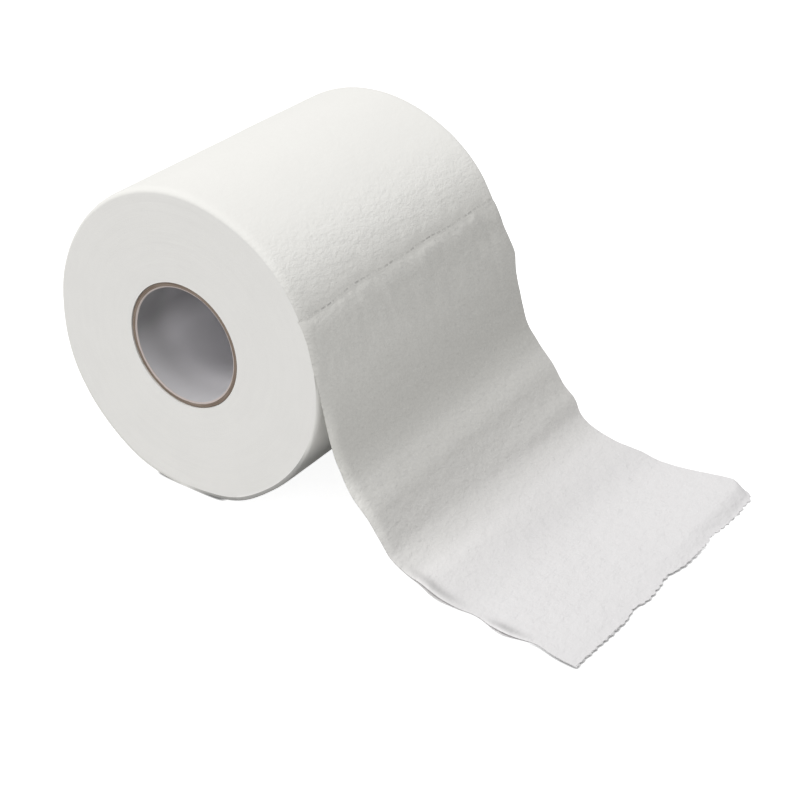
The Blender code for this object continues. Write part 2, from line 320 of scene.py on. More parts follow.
class Shader(Nodes):
    """A Principled material that is put together node by node."""

    def __init__(self, name: str, roughness: float, gloss: float) -> None:
        """Start a material.

        Args:
            name: Its name.
            roughness: Its roughness.
            gloss: Its specular level.
        """
        self.material = bpy.data.materials.new(name)
        self.material.use_nodes = True
        super().__init__(self.material.node_tree)
        self.surface = self.tree.nodes["Principled BSDF"].inputs
        self.surface["Roughness"].default_value = roughness
        self.surface["Specular IOR Level"].default_value = gloss

    def grain(self, vector: Socket, cell: Cell, detail: float = 2.0, roughness: float = 0.5) -> Socket:
        """Add noise whose features have a real size.

        Args:
            vector: The coordinates, in metres.
            cell: The features' size along each coordinate, in metres.
            detail: How many finer layers it has.
            roughness: How strong the finer layers are.

        Returns:
            The noise's value, about 0 to 1.
        """
        fitted = self.add("ShaderNodeMapping", {"Vector": vector, "Scale": [1.0 / size for size in cell]})
        speckle = self.add(
            "ShaderNodeTexNoise",
            {"Vector": fitted.outputs["Vector"], "Scale": 1.0, "Detail": detail, "Roughness": roughness},
        )
        return speckle.outputs["Fac"]

    def tint(self, share: Socket, low: Colour, high: Colour, span: Span = (0.3, 0.7)) -> Socket:
        """Blend two colours by a value.

        Args:
            share: The value.
            low: The colour up to the span's start.
            high: The colour from the span's end.
            span: Where the blend starts and ends.

        Returns:
            The colour's socket.
        """
        return self.tones(share, [(at, *colour) for at, colour in zip(span, (low, high))], "EASE")

    def tones(self, place: Socket, tones: Sequence[Tone], interpolation: str = "LINEAR") -> Socket:
        """Colour a surface by a value.

        Args:
            place: The value.
            tones: Each tone's place and its red, green and blue.
            interpolation: How one tone passes into the next.

        Returns:
            The colour's socket.
        """
        ramp = self.add("ShaderNodeValToRGB", {"Fac": place})
        ramp.color_ramp.interpolation = interpolation
        stops = ramp.color_ramp.elements
        while len(stops) < len(tones):
            stops.new(1.0)
        for stop, (at, *tone) in zip(stops, tones):
            stop.position = at
            stop.color = (*tone, 1.0)
        return ramp.outputs["Color"]

    def split(self, vector: Socket) -> tuple[Socket, ...]:
        """Return a vector's three parts."""
        return tuple(self.add("ShaderNodeSeparateXYZ", {"Vector": vector}).outputs)

    def scaled(self, colour: Socket, gain: Socket) -> Socket:
        """Return a colour times a gain."""
        values = {"Vector": colour, "Scale": gain}
        return self.add("ShaderNodeVectorMath", values, operation="SCALE").outputs["Vector"]

    def swing(self, value: Socket, share: float) -> Socket:
        """Return a gain about 1 that swings with a noise's value by a share."""
        return self.math("MULTIPLY_ADD", value, share, 1.0 - share / 2)

    def stir(self, value: Socket, where: Socket) -> Socket:
        """Return a noise's swing about its middle, as far as a share lets it show."""
        return self.product(self.math("SUBTRACT", value, NOISE_MIDDLE), where)

    def fading(self, value: Socket, span: Span, start: float = 1.0, end: float = 0.0) -> Socket:
        """Return a value that passes softly from one level to another along a span.

        Args:
            value: The place.
            span: Where it starts and ends to change.
            start: The level up to the span's start.
            end: The level from the span's end.

        Returns:
            The value's socket.
        """
        values = {"Value": value, "From Min": span[0], "From Max": span[1], "To Min": start, "To Max": end}
        return self.add("ShaderNodeMapRange", values, interpolation_type="SMOOTHSTEP").outputs["Result"]

    def rising(self, value: Socket, span: Span) -> Socket:
        """Return 0 up to the start of a span, rising softly to 1 at its end."""
        return self.fading(value, span, 0.0, 1.0)

    def mixed(self, share: Socket, below: object, above: object) -> Socket:
        """Blend two colours by a share.

        Args:
            share: The share.
            below: The colour where it is 0, as a socket or four numbers.
            above: The colour where it is 1, as a socket or four numbers.

        Returns:
            The colour's socket.
        """
        mix = self.add("ShaderNodeMix", data_type="RGBA")
        for name, value in (("Factor", share), ("A", below), ("B", above)):
            self.join(value, mix.inputs[name])
        return mix.outputs["Result"]

    def rings(self, place: Socket, centre: Vector) -> tuple[Socket, Socket]:
        """Return coordinates that run out along the radius and round the axis.

        Args:
            place: The object's coordinates.
            centre: A point of the axis.

        Returns:
            The radius in metres, and the vector of it with the direction from the axis.
        """
        centred = self.add(
            "ShaderNodeMapping",
            {"Vector": place, "Location": (-centre.x, 0.0, -centre.z), "Scale": (1.0, 0.0, 1.0)},
        )
        outwards = {"Vector": centred.outputs["Vector"]}
        radius = self.add("ShaderNodeVectorMath", outwards, operation="LENGTH").outputs["Value"]
        heading = self.add("ShaderNodeVectorMath", outwards, operation="NORMALIZE").outputs["Vector"]
        part_x, _, part_z = self.split(heading)
        rings = self.add("ShaderNodeCombineXYZ", {"X": radius, "Y": part_x, "Z": part_z})
        return radius, rings.outputs["Vector"]

    def relief(self, layers: Sequence[tuple[Socket, float]]) -> None:
        """Bump the surface by heights that add up.

        Args:
            layers: Each height's socket, about 0 to 1, and its full height in metres.
        """
        below = {}
        for height, depth in layers:
            bump = self.add("ShaderNodeBump", {"Distance": depth, "Height": height, **below})
            below = {"Normal": bump.outputs["Normal"]}
        self.join(below["Normal"], self.surface["Normal"])


@dataclass(frozen=True)
class TissueFinish:
    """Soft creped tissue, on the faces of the web.

    Spans along the web are shares of the sheet's length, from the perforation, and those of the painted shade
    on the roll's underside are metres. The tones and several gains hold painted shade and light.
    """

    name: str
    tones: tuple[Tone, ...]
    blotch_share: float = 0.02
    blotch_cell: Cell = (0.014, 0.011, 0.014)
    # Painted light: a lighter strip along the near edge, with its strength, its reach across, and where along
    # the sheet it starts and ends.
    edge_painted_light: float = 0.0
    edge_reach: float = 0.0048
    edge_start: Span = (0.15, 0.27)
    edge_span: Span = (0.45, 0.60)
    # Painted shade in the slits that gape: how much darker they are.
    slit_painted_shade: float = 0.30
    slit_cell: Cell = (0.0075, 0.02, 0.02)
    slit_reach: float = 0.00040
    slit_depth: float = 0.00016
    gape_span: Span = (0.45, 0.62)
    shut_height: float = 0.8
    rows_end_share: float = 1.5
    # Painted shade on the roll's underside near where it rests: its strength, and where along the web it
    # rises and fades, in metres.
    underside_painted_shade: float = 0.0
    underside_shade_start: Span = (0.200, 0.215)
    underside_shade_end: Span = (0.2540, 0.2675)
    # Painted shade in the fold behind the near edge's lips, and painted highlight on their crests.
    lip_painted_shade: float = 0.0
    # Painted light and shade in streaks along the web, standing for the puckers below the perforation.
    crinkle_painted_shading: float = 0.0
    crinkle_cell: Cell = (0.0030, 0.0110, 0.003)
    crinkle_span: Span = (0.08, 0.28)
    # Painted shade: darker towards the far side where the sheet hangs, with the span along the sheet over
    # which it fades.
    far_side_painted_shade: float = 0.0
    far_shade_span: Span = (0.22, 0.44)
    cloud_share: float = 0.0
    cloud_span: Span = (0.46, 0.66)
    cloud_cell: Cell = (0.0013, 0.0011, 0.0013)
    roughness: float = 1.0
    gloss: float = 0.2
    sheen: float = 0.06
    crepe_cell: Cell = (0.0016, 0.0011, 0.0012)
    crepe_depth: float = 0.00032
    fine_share: float = 0.6
    fibre_cell: Cell = (0.00022, 0.00022, 0.00022)
    fibre_depth: float = 0.000012
    pillow_cell: Cell = (0.0042, 0.0034, 0.004)
    pillow_depth: float = 0.00050
    calm: float = 1.0
    calm_span: Span = (0.06, 0.22)

    def build(self, sheet_length: float, slit_pitch: float, slit_share: float) -> bpy.types.Material:
        """Make the material.

        Args:
            sheet_length: How far apart the rows of perforations are along the web.
            slit_pitch: How far apart the slits of a row are.
            slit_share: The share of the pitch that a slit takes.

        Returns:
            The material.
        """
        look = Shader(self.name, self.roughness, self.gloss)
        look.surface["Sheen Weight"].default_value = self.sheen
        web = look.add("ShaderNodeUVMap", uv_map=WEB_MAP).outputs["UV"]
        across, travel, _ = look.split(web)
        along = look.math("DIVIDE", travel, sheet_length)
        from_row = look.math("PINGPONG", travel, sheet_length / 2)
        past_rows = look.math("SUBTRACT", travel, self.rows_end_share * sheet_length)
        from_row = look.math("MAXIMUM", from_row, past_rows)
        from_tab = look.math("PINGPONG", across, slit_pitch / 2)
        tab = look.math("LESS_THAN", from_tab, slit_pitch * (1.0 - slit_share) / 2)
        slits = self.slits(look, web, from_row, tab)
        gain = look.product(*self.gains(look, web, along, slits))
        look.join(look.scaled(look.tones(along, self.tones), gain), look.surface["Base Color"])
        strength = look.math("MULTIPLY_ADD", look.fading(along, self.calm_span), 1.0 - self.calm, self.calm)
        crepe = look.product(look.grain(web, self.crepe_cell, 3.0, self.fine_share), strength)
        fibre = look.grain(web, self.fibre_cell, detail=1.0)
        pillow = look.product(look.grain(web, self.pillow_cell), strength)
        look.relief(
            [
                (pillow, self.pillow_depth),
                (crepe, self.crepe_depth),
                (fibre, self.fibre_depth),
                (slits, self.slit_depth),
            ]
        )
        return look.material

    def slits(self, look: Shader, web: Socket, from_row: Socket, tab: Socket) -> Socket:
        """Return a height that dips in the slits of each row of perforations.

        Args:
            look: The material.
            web: The web's coordinates, across and along it in metres.
            from_row: The distance from the nearest row.
            tab: 1 in line with the paper between two slits.

        Returns:
            The height's socket, 1 on the paper and 0 in a slit that gapes.
        """
        shut = look.math("MAXIMUM", look.rising(from_row, (0.0, self.slit_reach)), tab)
        nearly = look.fading(look.grain(web, self.slit_cell, detail=1.0), self.gape_span, self.shut_height)
        return look.math("MAXIMUM", shut, nearly)

    def gains(self, look: Shader, web: Socket, along: Socket, slits: Socket) -> list[Socket]:
        """Return the gains that mottle the paper's tones, and that paint shade and light on it.

        Args:
            look: The material.
            web: The web's coordinates, across and along it in metres.
            along: The place along the web as a share of the sheet's length.
            slits: A height that dips in the slits of the perforations.

        Returns:
            The gains' sockets, each about 1.
        """
        across, travel, _ = look.split(web)
        gains = [
            look.swing(look.grain(web, self.blotch_cell, detail=3.0), self.blotch_share),
            # Painted shade: darker in the slits that gape.
            look.math("MULTIPLY_ADD", slits, self.slit_painted_shade, 1.0 - self.slit_painted_shade),
        ]
        parts = []
        if self.cloud_share:
            cloud = look.grain(web, self.cloud_cell, roughness=self.fine_share)
            parts.append((look.stir(cloud, look.fading(along, self.cloud_span)), self.cloud_share))
        # Painted light and shade of the puckers, in streaks near the perforation.
        if self.crinkle_painted_shading:
            crinkle_shading = look.grain(web, self.crinkle_cell)
            parts.append((look.stir(crinkle_shading, look.fading(along, self.crinkle_span)), self.crinkle_painted_shading))
        # Painted shade, darker towards the far side of the hanging sheet.
        if self.far_side_painted_shade:
            parts.append((look.product(across, look.fading(along, self.far_shade_span)), -self.far_side_painted_shade))
        # Painted shade on the roll's underside, near where it rests on the surface.
        if self.underside_painted_shade:
            low = look.product(look.rising(travel, self.underside_shade_start), look.fading(travel, self.underside_shade_end))
            parts.append((low, -self.underside_painted_shade))
        # Painted shade in the fold behind each lip, and painted highlight on its crest, read from the
        # attribute.
        if self.lip_painted_shade:
            valley = look.add("ShaderNodeAttribute", attribute_name=PAINTED_LIP_SHADE).outputs["Fac"]
            parts.append((valley, -self.lip_painted_shade))
        # Painted light: a lighter strip along the near edge, where the sheet hangs and slopes.
        if self.edge_painted_light:
            stretch = look.product(look.fading(along, self.edge_span), look.rising(along, self.edge_start))
            parts.append((look.product(look.fading(across, (0.0, self.edge_reach)), stretch), self.edge_painted_light))
        return gains + [look.math("MULTIPLY_ADD", part, share, 1.0) for part, share in parts]


# Tones of the wound paper along the web from the perforation row: darker towards the row, which is painted
# shade; further on, the tissue's off-white, changing a little along the web.
THICK_TONES_PAINTED_SHADE = (
    (0.000, 0.752, 0.743, 0.709),
    (0.040, 0.818, 0.809, 0.775),
    (0.085, 0.906, 0.897, 0.863),
    (0.130, 0.946, 0.937, 0.903),
    (0.200, 0.938, 0.929, 0.895),
    (0.320, 0.918, 0.909, 0.875),
    (0.480, 0.900, 0.891, 0.857),
)

# Tones of the loose sheet along it from the perforation: partly the thin sheet's lower whiteness, partly
# painted shade and light, darkest where it hangs, with darker and lighter bands at the folds, and lighter
# where it lies on the surface.
THIN_TONES_PAINTED_SHADE = (
    (0.000, 0.752, 0.743, 0.709),
    (0.020, 0.765, 0.756, 0.722),
    (0.045, 0.718, 0.710, 0.676),
    (0.095, 0.728, 0.720, 0.686),
    (0.150, 0.735, 0.727, 0.693),
    (0.180, 0.710, 0.702, 0.668),
    (0.230, 0.680, 0.672, 0.639),
    (0.311, 0.657, 0.649, 0.617),
    (0.350, 0.676, 0.668, 0.638),
    (0.380, 0.735, 0.726, 0.697),
    (0.405, 0.712, 0.703, 0.676),
    (0.435, 0.688, 0.679, 0.653),
    (0.510, 0.712, 0.702, 0.680),
    (0.567, 0.800, 0.788, 0.772),
    (0.620, 0.862, 0.848, 0.842),
    (0.695, 0.806, 0.794, 0.794),
    (0.783, 0.862, 0.849, 0.851),
    (0.900, 0.862, 0.849, 0.852),
    (1.000, 0.848, 0.836, 0.840),
)

WOUND_TISSUE = TissueFinish("wound_tissue", THICK_TONES_PAINTED_SHADE, crepe_depth=0.00042, calm=0.24, underside_painted_shade=0.50)

THIN_TISSUE = TissueFinish(
    "thin_tissue",
    THIN_TONES_PAINTED_SHADE,
    edge_painted_light=0.27,
    crinkle_painted_shading=0.16,
    far_side_painted_shade=1.25,
    cloud_share=0.17,
    lip_painted_shade=0.27,
    pillow_depth=0.00065,
)


@dataclass(frozen=True)
class EndFinish:
    """The cut edges of the wound turns, on the roll's ends."""

    name: str = "wound_edges"
    pale: Colour = (0.914, 0.904, 0.876)
    dusk: Colour = (0.899, 0.889, 0.862)
    dusk_span: Span = (0.35, 0.65)
    roughness: float = 1.0
    gloss: float = 0.2
    layer_cell: Cell = (0.00024, 1.0 / 3.0, 1.0 / 3.0)
    layer_depth: float = 0.00003
    band_cell: Cell = (0.00168, 0.5, 0.5)
    band_share: float = 0.45
    smear_cell: Cell = (0.009, 0.009, 0.009)
    fuzz_cell: Cell = (0.0006, 0.0006, 0.0006)
    fuzz_depth: float = 0.00004

    def build(self, centre: Vector) -> bpy.types.Material:
        """Make the material.

        Args:
            centre: The middle of the turns.

        Returns:
            The material.
        """
        look = Shader(self.name, self.roughness, self.gloss)
        place = look.add("ShaderNodeTexCoord").outputs["Object"]
        _, rings = look.rings(place, centre)
        bands = look.math("MULTIPLY", look.grain(rings, self.band_cell), self.band_share)
        smear = look.grain(place, self.smear_cell, detail=3.0)
        shade = look.math("MULTIPLY_ADD", smear, 1.0 - self.band_share, bands)
        look.join(look.tint(shade, self.dusk, self.pale, self.dusk_span), look.surface["Base Color"])
        layers = look.grain(rings, self.layer_cell, detail=3.0)
        look.relief([(layers, self.layer_depth), (look.grain(place, self.fuzz_cell), self.fuzz_depth)])
        return look.material


@dataclass(frozen=True)
class BoardFinish:
    """Grey recycled board, browner where its layers are cut. Its lining holds painted light and shade: paler
    deep in the bore than near its ends, and darker on the upper wall than on the lower.
    """

    name: str = "recycled_board"
    # The lining near the bore's ends, the paler painted light deep inside, its mottling, and where along the
    # bore one passes into the other.
    lining: Colour = (0.61, 0.60, 0.615)
    lining_deep_painted_light: Colour = (0.95, 0.935, 0.96)
    lining_cloud: float = 0.08
    painted_light_depths: Span = (0.030, 0.046)
    # Painted shade on the upper wall of the bore: the gain below, the gain above, and the heights about the
    # tube's middle between which it sets in.
    low_gain: float = 1.00
    upper_painted_shade: float = 0.49
    painted_shade_heights: Span = (-0.009, 0.003)
    cut: Colour = (0.31, 0.25, 0.205)
    cut_dark: Colour = (0.20, 0.152, 0.118)
    cut_cell: Cell = (0.0003, 0.4, 0.4)
    lip: Colour = (0.60, 0.53, 0.50)
    lip_share: float = 0.25
    lining_share: float = 0.5
    fine_share: float = 0.6
    roughness: float = 0.9
    gloss: float = 0.25
    fibre_cell: Cell = (0.0006, 0.0022, 0.0006)
    fibre_depth: float = 0.00003
    cloud_cell: Cell = (0.006, 0.012, 0.006)

    def build(
        self, centre: Vector, inner_radius: float, wall: float, lining_end: float
    ) -> bpy.types.Material:
        """Make the material.

        Args:
            centre: The middle of the tube.
            inner_radius: The bore's radius.
            wall: The tube's wall.
            lining_end: How far the lining runs from the middle, up to the cut edges.

        Returns:
            The material.
        """
        look = Shader(self.name, self.roughness, self.gloss)
        place = look.add("ShaderNodeTexCoord").outputs["Object"]
        radius, rings = look.rings(place, centre)
        _, along, height = look.split(place)
        along = look.math("ABSOLUTE", along)

        cut = look.tint(look.grain(rings, self.cut_cell), self.cut_dark, self.cut)
        at_lip = look.math("LESS_THAN", radius, inner_radius + self.lip_share * wall)
        ends = look.mixed(at_lip, cut, (*self.lip, 1.0))

        # Painted light deep in the bore, and painted shade on its upper wall.
        lining = look.tint(look.fading(along, self.painted_light_depths), self.lining, self.lining_deep_painted_light, (0.0, 1.0))
        span = tuple(centre.z + rise for rise in self.painted_shade_heights)
        lower = look.fading(height, span, self.low_gain, self.upper_painted_shade)
        mottled = look.swing(look.grain(place, self.cloud_cell, detail=3.0), self.lining_cloud)
        lining = look.scaled(lining, look.product(mottled, lower))

        in_wall = look.math("LESS_THAN", radius, inner_radius + self.lining_share * wall)
        inside = look.product(look.math("LESS_THAN", along, lining_end), in_wall)
        look.join(look.mixed(inside, ends, lining), look.surface["Base Color"])
        look.relief([(look.grain(place, self.fibre_cell, 3.0, self.fine_share), self.fibre_depth)])
        return look.material


@dataclass(frozen=True)
class RollSizes:
    """The roll's main sizes. The tube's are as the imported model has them."""

    tube_radius: float
    tube_half_length: float
    tube_shift: float
    tube_height: float
    radius: float = 0.0488
    half_width: float = 0.050
    flat_spot: float = 0.0005

    @classmethod
    def from_frame(cls) -> "RollSizes":
        """Read the tube's size and place off its CAD node's box.

        Returns:
            The sizes.
        """
        low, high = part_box(TUBE_NODE)
        return cls(
            tube_radius=(high.x - low.x) / 2,
            tube_half_length=(high.y - low.y) / 2,
            tube_shift=(high.x + low.x) / 2,
            tube_height=(high.z + low.z) / 2,
        )

    @property
    def axis_height(self) -> float:
        """How high the middle of the roll's outline lies."""
        return self.radius - self.flat_spot

    @property
    def tube_centre(self) -> Vector:
        """The middle of the tube."""
        return Vector((self.tube_shift, 0.0, self.tube_height))

    @property
    def tube_rise(self) -> float:
        """How far the tube lies above the middle of the roll's outline."""
        return self.tube_height - self.axis_height


@dataclass(frozen=True)
class Perforation:
    """The row of slits between two sheets."""

    angle: float = math.radians(30.0)
    pitch: float = 0.0028
    slit: float = 0.0019
    sink: float = 0.00036
    sink_spread: float = 0.0018
    sink_base: float = 0.35
    dimple_base: float = 0.45
    dimples: Wave = Wave(1.3, 0.0065, 7.3)
    dimple_ends: Span = (0.05, 1.2)
    stray: float = 0.0006
    stray_reach: float = 0.020
    strays: tuple[Wave, ...] = (Wave(1.1, 0.016, 3.1), Wave(0.7, 0.0055, 8.7))
    droop: float = 1.1
    droop_at: float = -0.050
    droop_spread: float = 0.016

    @property
    def tab(self) -> float:
        """The width of the paper that is left between two slits."""
        return self.pitch - self.slit

    def dimple(self, along: float) -> float:
        """Return how deeply the row is drawn in at a place along the axis, about 0 to 1."""
        return held(self.dimple_base + self.dimples.at(along), *self.dimple_ends)

    def valley(self, along: float, distance: float) -> float:
        """Return how far the paper sinks at a place along the axis and a distance from the row."""
        return self.sink * (self.sink_base + self.dimple(along)) * hump(distance, self.sink_spread)

    def wandering(self, along: float, distance: float) -> float:
        """Return how far the row strays up the roll, fading out with the distance from it.

        Args:
            along: The place along the axis.
            distance: How far it lies from the row.

        Returns:
            The distance up the roll.
        """
        astray = sum(wave.at(along) for wave in self.strays)
        astray -= self.droop * hump(along - self.droop_at, self.droop_spread)
        return self.stray * astray * (1.0 - ease(distance / self.stray_reach))


@dataclass(frozen=True)
class Bulge:
    """A place where the soft roll swells or sinks from a true circle."""

    angle: float
    spread: float
    height: float


@dataclass
class WoundPaper:
    """The paper wound on the tube: its spiral of turns on both ends, and its outer turn."""

    sizes: RollSizes
    perforation: Perforation
    web_thickness: float = 0.00024
    bore_fit: float = 0.00012
    end_inset: float = 0.0002
    turns: int = 28
    turn_relief: float = 0.00004
    turn_step_share: float = 0.3
    turn_wander: float = 0.00005
    turn_waves: float = 2.3
    end_seed: float = 3.0
    rim_drop: float = 0.0014
    rim_depth: float = 0.0026
    rim_rows: int = 6
    side_rows: int = 96
    steps: int = 360
    crowding: float = 0.72
    tuck: float = 0.0003
    tuck_start: float = 0.0009
    tuck_run: float = 0.0014
    tuck_fade: float = 0.03
    low_rim_share: float = 0.35
    low_rim_height: float = -0.45
    low_rim_fade: float = 0.5
    edge_wander: float = 0.00012
    edge_waves: float = 3.0
    edge_wave_length: float = 0.025
    soft_ripples: tuple[Ripple, ...] = (
        Ripple(0.00006, 0.011, 0.009, 4.0),
        Ripple(0.00012, 0.034, 0.022, 9.0),
    )
    puckers: Ripple = Ripple(0.00032, 0.0036, 0.007, 2.0)
    pucker_start: float = 0.002
    pucker_reach: float = 0.010
    seam_margin: float = 0.1
    sharp_angle: float = math.radians(50.0)
    bulges: tuple[Bulge, ...] = (
        Bulge(math.radians(248.0), math.radians(11.0), 0.0007),
        Bulge(math.radians(292.0), math.radians(11.0), 0.0007),
        Bulge(math.radians(222.0), math.radians(22.0), 0.0004),
        Bulge(math.radians(103.0), math.radians(30.0), 0.0005),
        Bulge(math.radians(50.0), math.radians(16.0), 0.0004),
    )

    @property
    def bore_radius(self) -> float:
        """The radius of the hole that the tube fills."""
        return self.sizes.tube_radius + self.bore_fit

    @property
    def face_radius(self) -> float:
        """The radius at which an end starts to round off into the rim."""
        return self.sizes.radius - self.rim_drop

    @property
    def end_at(self) -> float:
        """How far from the middle each end lies."""
        return self.sizes.half_width - self.end_inset

    @property
    def pitch(self) -> float:
        """How far apart the turns are that show on an end."""
        return (self.face_radius - self.bore_radius) / self.turns

    def end_rows(self) -> list[tuple[float, float]]:
        """List the rows of an end from the bore outwards.

        Returns:
            Each row's radius and its inset.
        """
        rows = [(self.bore_radius, 0.0)]
        for turn in range(1, self.turns + 2):
            crown = self.bore_radius + self.pitch * turn
            rows.append((crown - self.pitch * self.turn_step_share, self.turn_relief))
            rows.append((crown, 0.0))
        return rows

    def rim(self) -> list[tuple[float, float]]:
        """List the rows of the rounded rim from the end outwards, without its first row.

        Returns:
            Each row's radius and its inset.
        """
        rows = []
        for step in range(1, self.rim_rows + 1):
            turn = QUARTER_TURN * step / self.rim_rows
            radius = self.face_radius + self.rim_drop * math.sin(turn)
            rows.append((radius, self.rim_depth * (1.0 - math.cos(turn))))
        return rows

    def profile(self) -> list[tuple[float, float, bool]]:
        """List the points of the whole section on one side of the axis.

        Returns:
            Each point's radius, its place along the axis, and whether it is on an end.
        """
        near = [(radius, inset - self.end_at, True) for radius, inset in self.end_rows()]
        near += [(radius, inset - self.end_at, False) for radius, inset in self.rim()]
        far = [(radius, -along, on_end) for radius, along, on_end in reversed(near)]
        start = near[-1][1]
        side = []
        for row in range(1, self.side_rows):
            side.append((self.sizes.radius, between(start, -start, row / self.side_rows), False))
        return near + side + far

    def swell(self, angle: float, radius: float) -> float:
        """Return how far the soft roll bulges at a place.

        Args:
            angle: The place's angle about the axis.
            radius: Its radius.

        Returns:
            The distance outwards.
        """
        swell = 0.0
        for bulge in self.bulges:
            turned = (angle - bulge.angle + math.pi) % math.tau - math.pi
            swell += bulge.height * hump(turned, bulge.spread)
        return swell * self.depth_share(radius) ** 2

    def depth_share(self, radius: float) -> float:
        """Return how far out a radius lies, 0 at the bore and 1 at the outer turn."""
        return held((radius - self.bore_radius) / (self.sizes.radius - self.bore_radius))

    def side_rise(self, along: float, travel: float) -> float:
        """Return how far the outer turn stands off its even course.

        Args:
            along: The place along the axis.
            travel: How far it lies from the perforation, up and over the roll.

        Returns:
            The distance outwards.
        """
        soft = sum(ripple.at(along, travel) for ripple in self.soft_ripples)
        puckers = self.puckers.at(along, travel) * hump(travel, self.pucker_reach)
        return soft + puckers * ease(travel / self.pucker_start) - self.perforation.valley(along, travel)

    def wind(self, vertex: bmesh.types.BMVert, travel_angle: float) -> None:
        """Draw a point of an end in along the spiral of the turns.

        The web runs outwards as the angle falls, so after a full turn each row closes
        on the row of the next turn. Rows that pass the bore or the rim are held there.

        Args:
            vertex: The point, still at its row's own radius.
            travel_angle: Its angle from the perforation, from 0 to a full turn.
        """
        own = math.hypot(vertex.co.x, vertex.co.z)
        wound = own - self.pitch * travel_angle / math.tau
        radius = held(wound, self.bore_radius, self.face_radius)
        side = math.copysign(1.0, vertex.co.y)
        along = vertex.co.y if radius == wound else side * self.end_at
        loose = self.turn_wander * wander(self.turn_waves * radius / self.pitch, self.end_seed * side, 1.0)
        angle = self.perforation.angle + travel_angle
        vertex.co = (radius * math.cos(angle), along - side * abs(loose), radius * math.sin(angle))

    def dress_side(self, vertex: bmesh.types.BMVert, travel_angle: float) -> None:
        """Place a point of the rim or the side on the outer turn.

        Args:
            vertex: The point, at its row's own radius.
            travel_angle: Its angle from the perforation, from 0 to a full turn.
        """
        own = math.hypot(vertex.co.x, vertex.co.z)
        along = vertex.co.y
        travel = self.sizes.radius * travel_angle
        back = self.sizes.radius * (math.tau - travel_angle)
        angle = self.perforation.angle + travel_angle
        in_rim = ease((abs(along) - self.end_at + self.rim_depth) / self.rim_depth)
        raised = ease((math.sin(angle) - self.low_rim_height) / self.low_rim_fade)
        tight = 1.0 - between(self.low_rim_share, 1.0, raised)
        own += (self.sizes.radius - own) * tight
        to_end = self.end_at - abs(along)
        along = math.copysign(self.end_at - to_end * (1.0 - tight * in_rim), along)
        off_seam = ease((back - self.tuck_start) / self.tuck_run)
        rise = between(self.side_rise(along, 0.0), self.side_rise(along, travel), off_seam)
        under = self.tuck * (1.0 - ease((back - self.tuck_start - self.tuck_run) / self.tuck_fade))
        radius = own - (self.web_thickness * travel_angle / math.tau + under) * off_seam + rise
        angle += self.perforation.wandering(along, min(travel, back)) / self.sizes.radius
        edge = self.edge_wander * wander_round(angle, self.edge_waves, along / self.edge_wave_length)
        vertex.co = (radius * math.cos(angle), along + edge * in_rim, radius * math.sin(angle))

    def settle(self, vertex: bmesh.types.BMVert, travel_angle: float) -> None:
        """Let a point sag with the soft roll, press it flat on the surface, and lift it to its height.

        Args:
            vertex: The point, on the roll about its axis.
            travel_angle: Its angle from the perforation, from 0 to a full turn.
        """
        angle = (self.perforation.angle + travel_angle) % math.tau
        radius = math.hypot(vertex.co.x, vertex.co.z)
        grown = 1.0 + self.swell(angle, radius) / radius
        inner_share = 1.0 - self.depth_share(radius)
        place_x = vertex.co.x * grown + self.sizes.tube_shift * inner_share
        height = vertex.co.z * grown + self.sizes.axis_height + self.sizes.tube_rise * inner_share
        vertex.co = (place_x, vertex.co.y, max(height, 0.0))

    def map_web(
        self,
        bm: bmesh.types.BMesh,
        on_ends: bmesh.types.BMLayerItem,
        travels: bmesh.types.BMLayerItem,
    ) -> None:
        """Give each face its place on the web and its material.

        Args:
            bm: The spun mesh, before its seam is merged.
            on_ends: The layer that marks the points of an end.
            travels: The layer that holds each point's angle from the perforation.
        """
        web = bm.loops.layers.uv.new(WEB_MAP)
        for face in bm.faces:
            face.material_index = int(all(vertex[on_ends] for vertex in face.verts))
            past_row = all(vertex[travels] > math.tau - self.seam_margin for vertex in face.verts)
            for loop in face.loops:
                travel = (loop.vert[travels] - math.tau * past_row) * self.sizes.radius
                loop[web].uv = (loop.vert.co.y + self.sizes.half_width, travel)

    def build(self, side_finish: bpy.types.Material, end_finish: bpy.types.Material) -> bpy.types.Object:
        """Make the wound paper.

        Args:
            side_finish: The material of the side and the rims.
            end_finish: The material of both ends.

        Returns:
            The piece.
        """
        bm = bmesh.new()
        on_ends = bm.verts.layers.int.new("on_end")
        travels = bm.verts.layers.float.new("travel")
        corners = []
        for radius, along, on_end in self.profile():
            corner = bm.verts.new((radius, along, 0.0))
            corner[on_ends] = int(on_end)
            corners.append(corner)
        last = set(PieceMaker.spin(bm, corners, self.steps, use_merge=False))
        for vertex in bm.verts:
            even = math.tau if vertex in last else math.atan2(vertex.co.z, vertex.co.x) % math.tau
            travel_angle = even - self.crowding * math.sin(even)
            vertex[travels] = travel_angle
            if vertex[on_ends]:
                self.wind(vertex, travel_angle)
            else:
                self.dress_side(vertex, travel_angle)
            self.settle(vertex, travel_angle)
        self.map_web(bm, on_ends, travels)
        PieceMaker.close(bm)
        piece = PieceMaker.make(bm, "wound_paper", [side_finish, end_finish])
        PieceMaker.finish(piece, self.sharp_angle, Slot.TISSUE, PAPER_NODE)
        return piece


@dataclass(frozen=True)
class SheetEdge:
    """How one side edge of the loose sheet runs from the roll down to the surface.

    The shares are of the roll's radius. Angles are headings along the sheet, with 0
    along +X and a quarter turn below it straight down.
    """

    peel_angle: float
    hang_run_share: float
    hang_angle: float
    flare_radius_share: float
    slope_angle: float
    heel_angle: float
    heel_radius_share: float
    toe_angle: float
    toe_radius_share: float


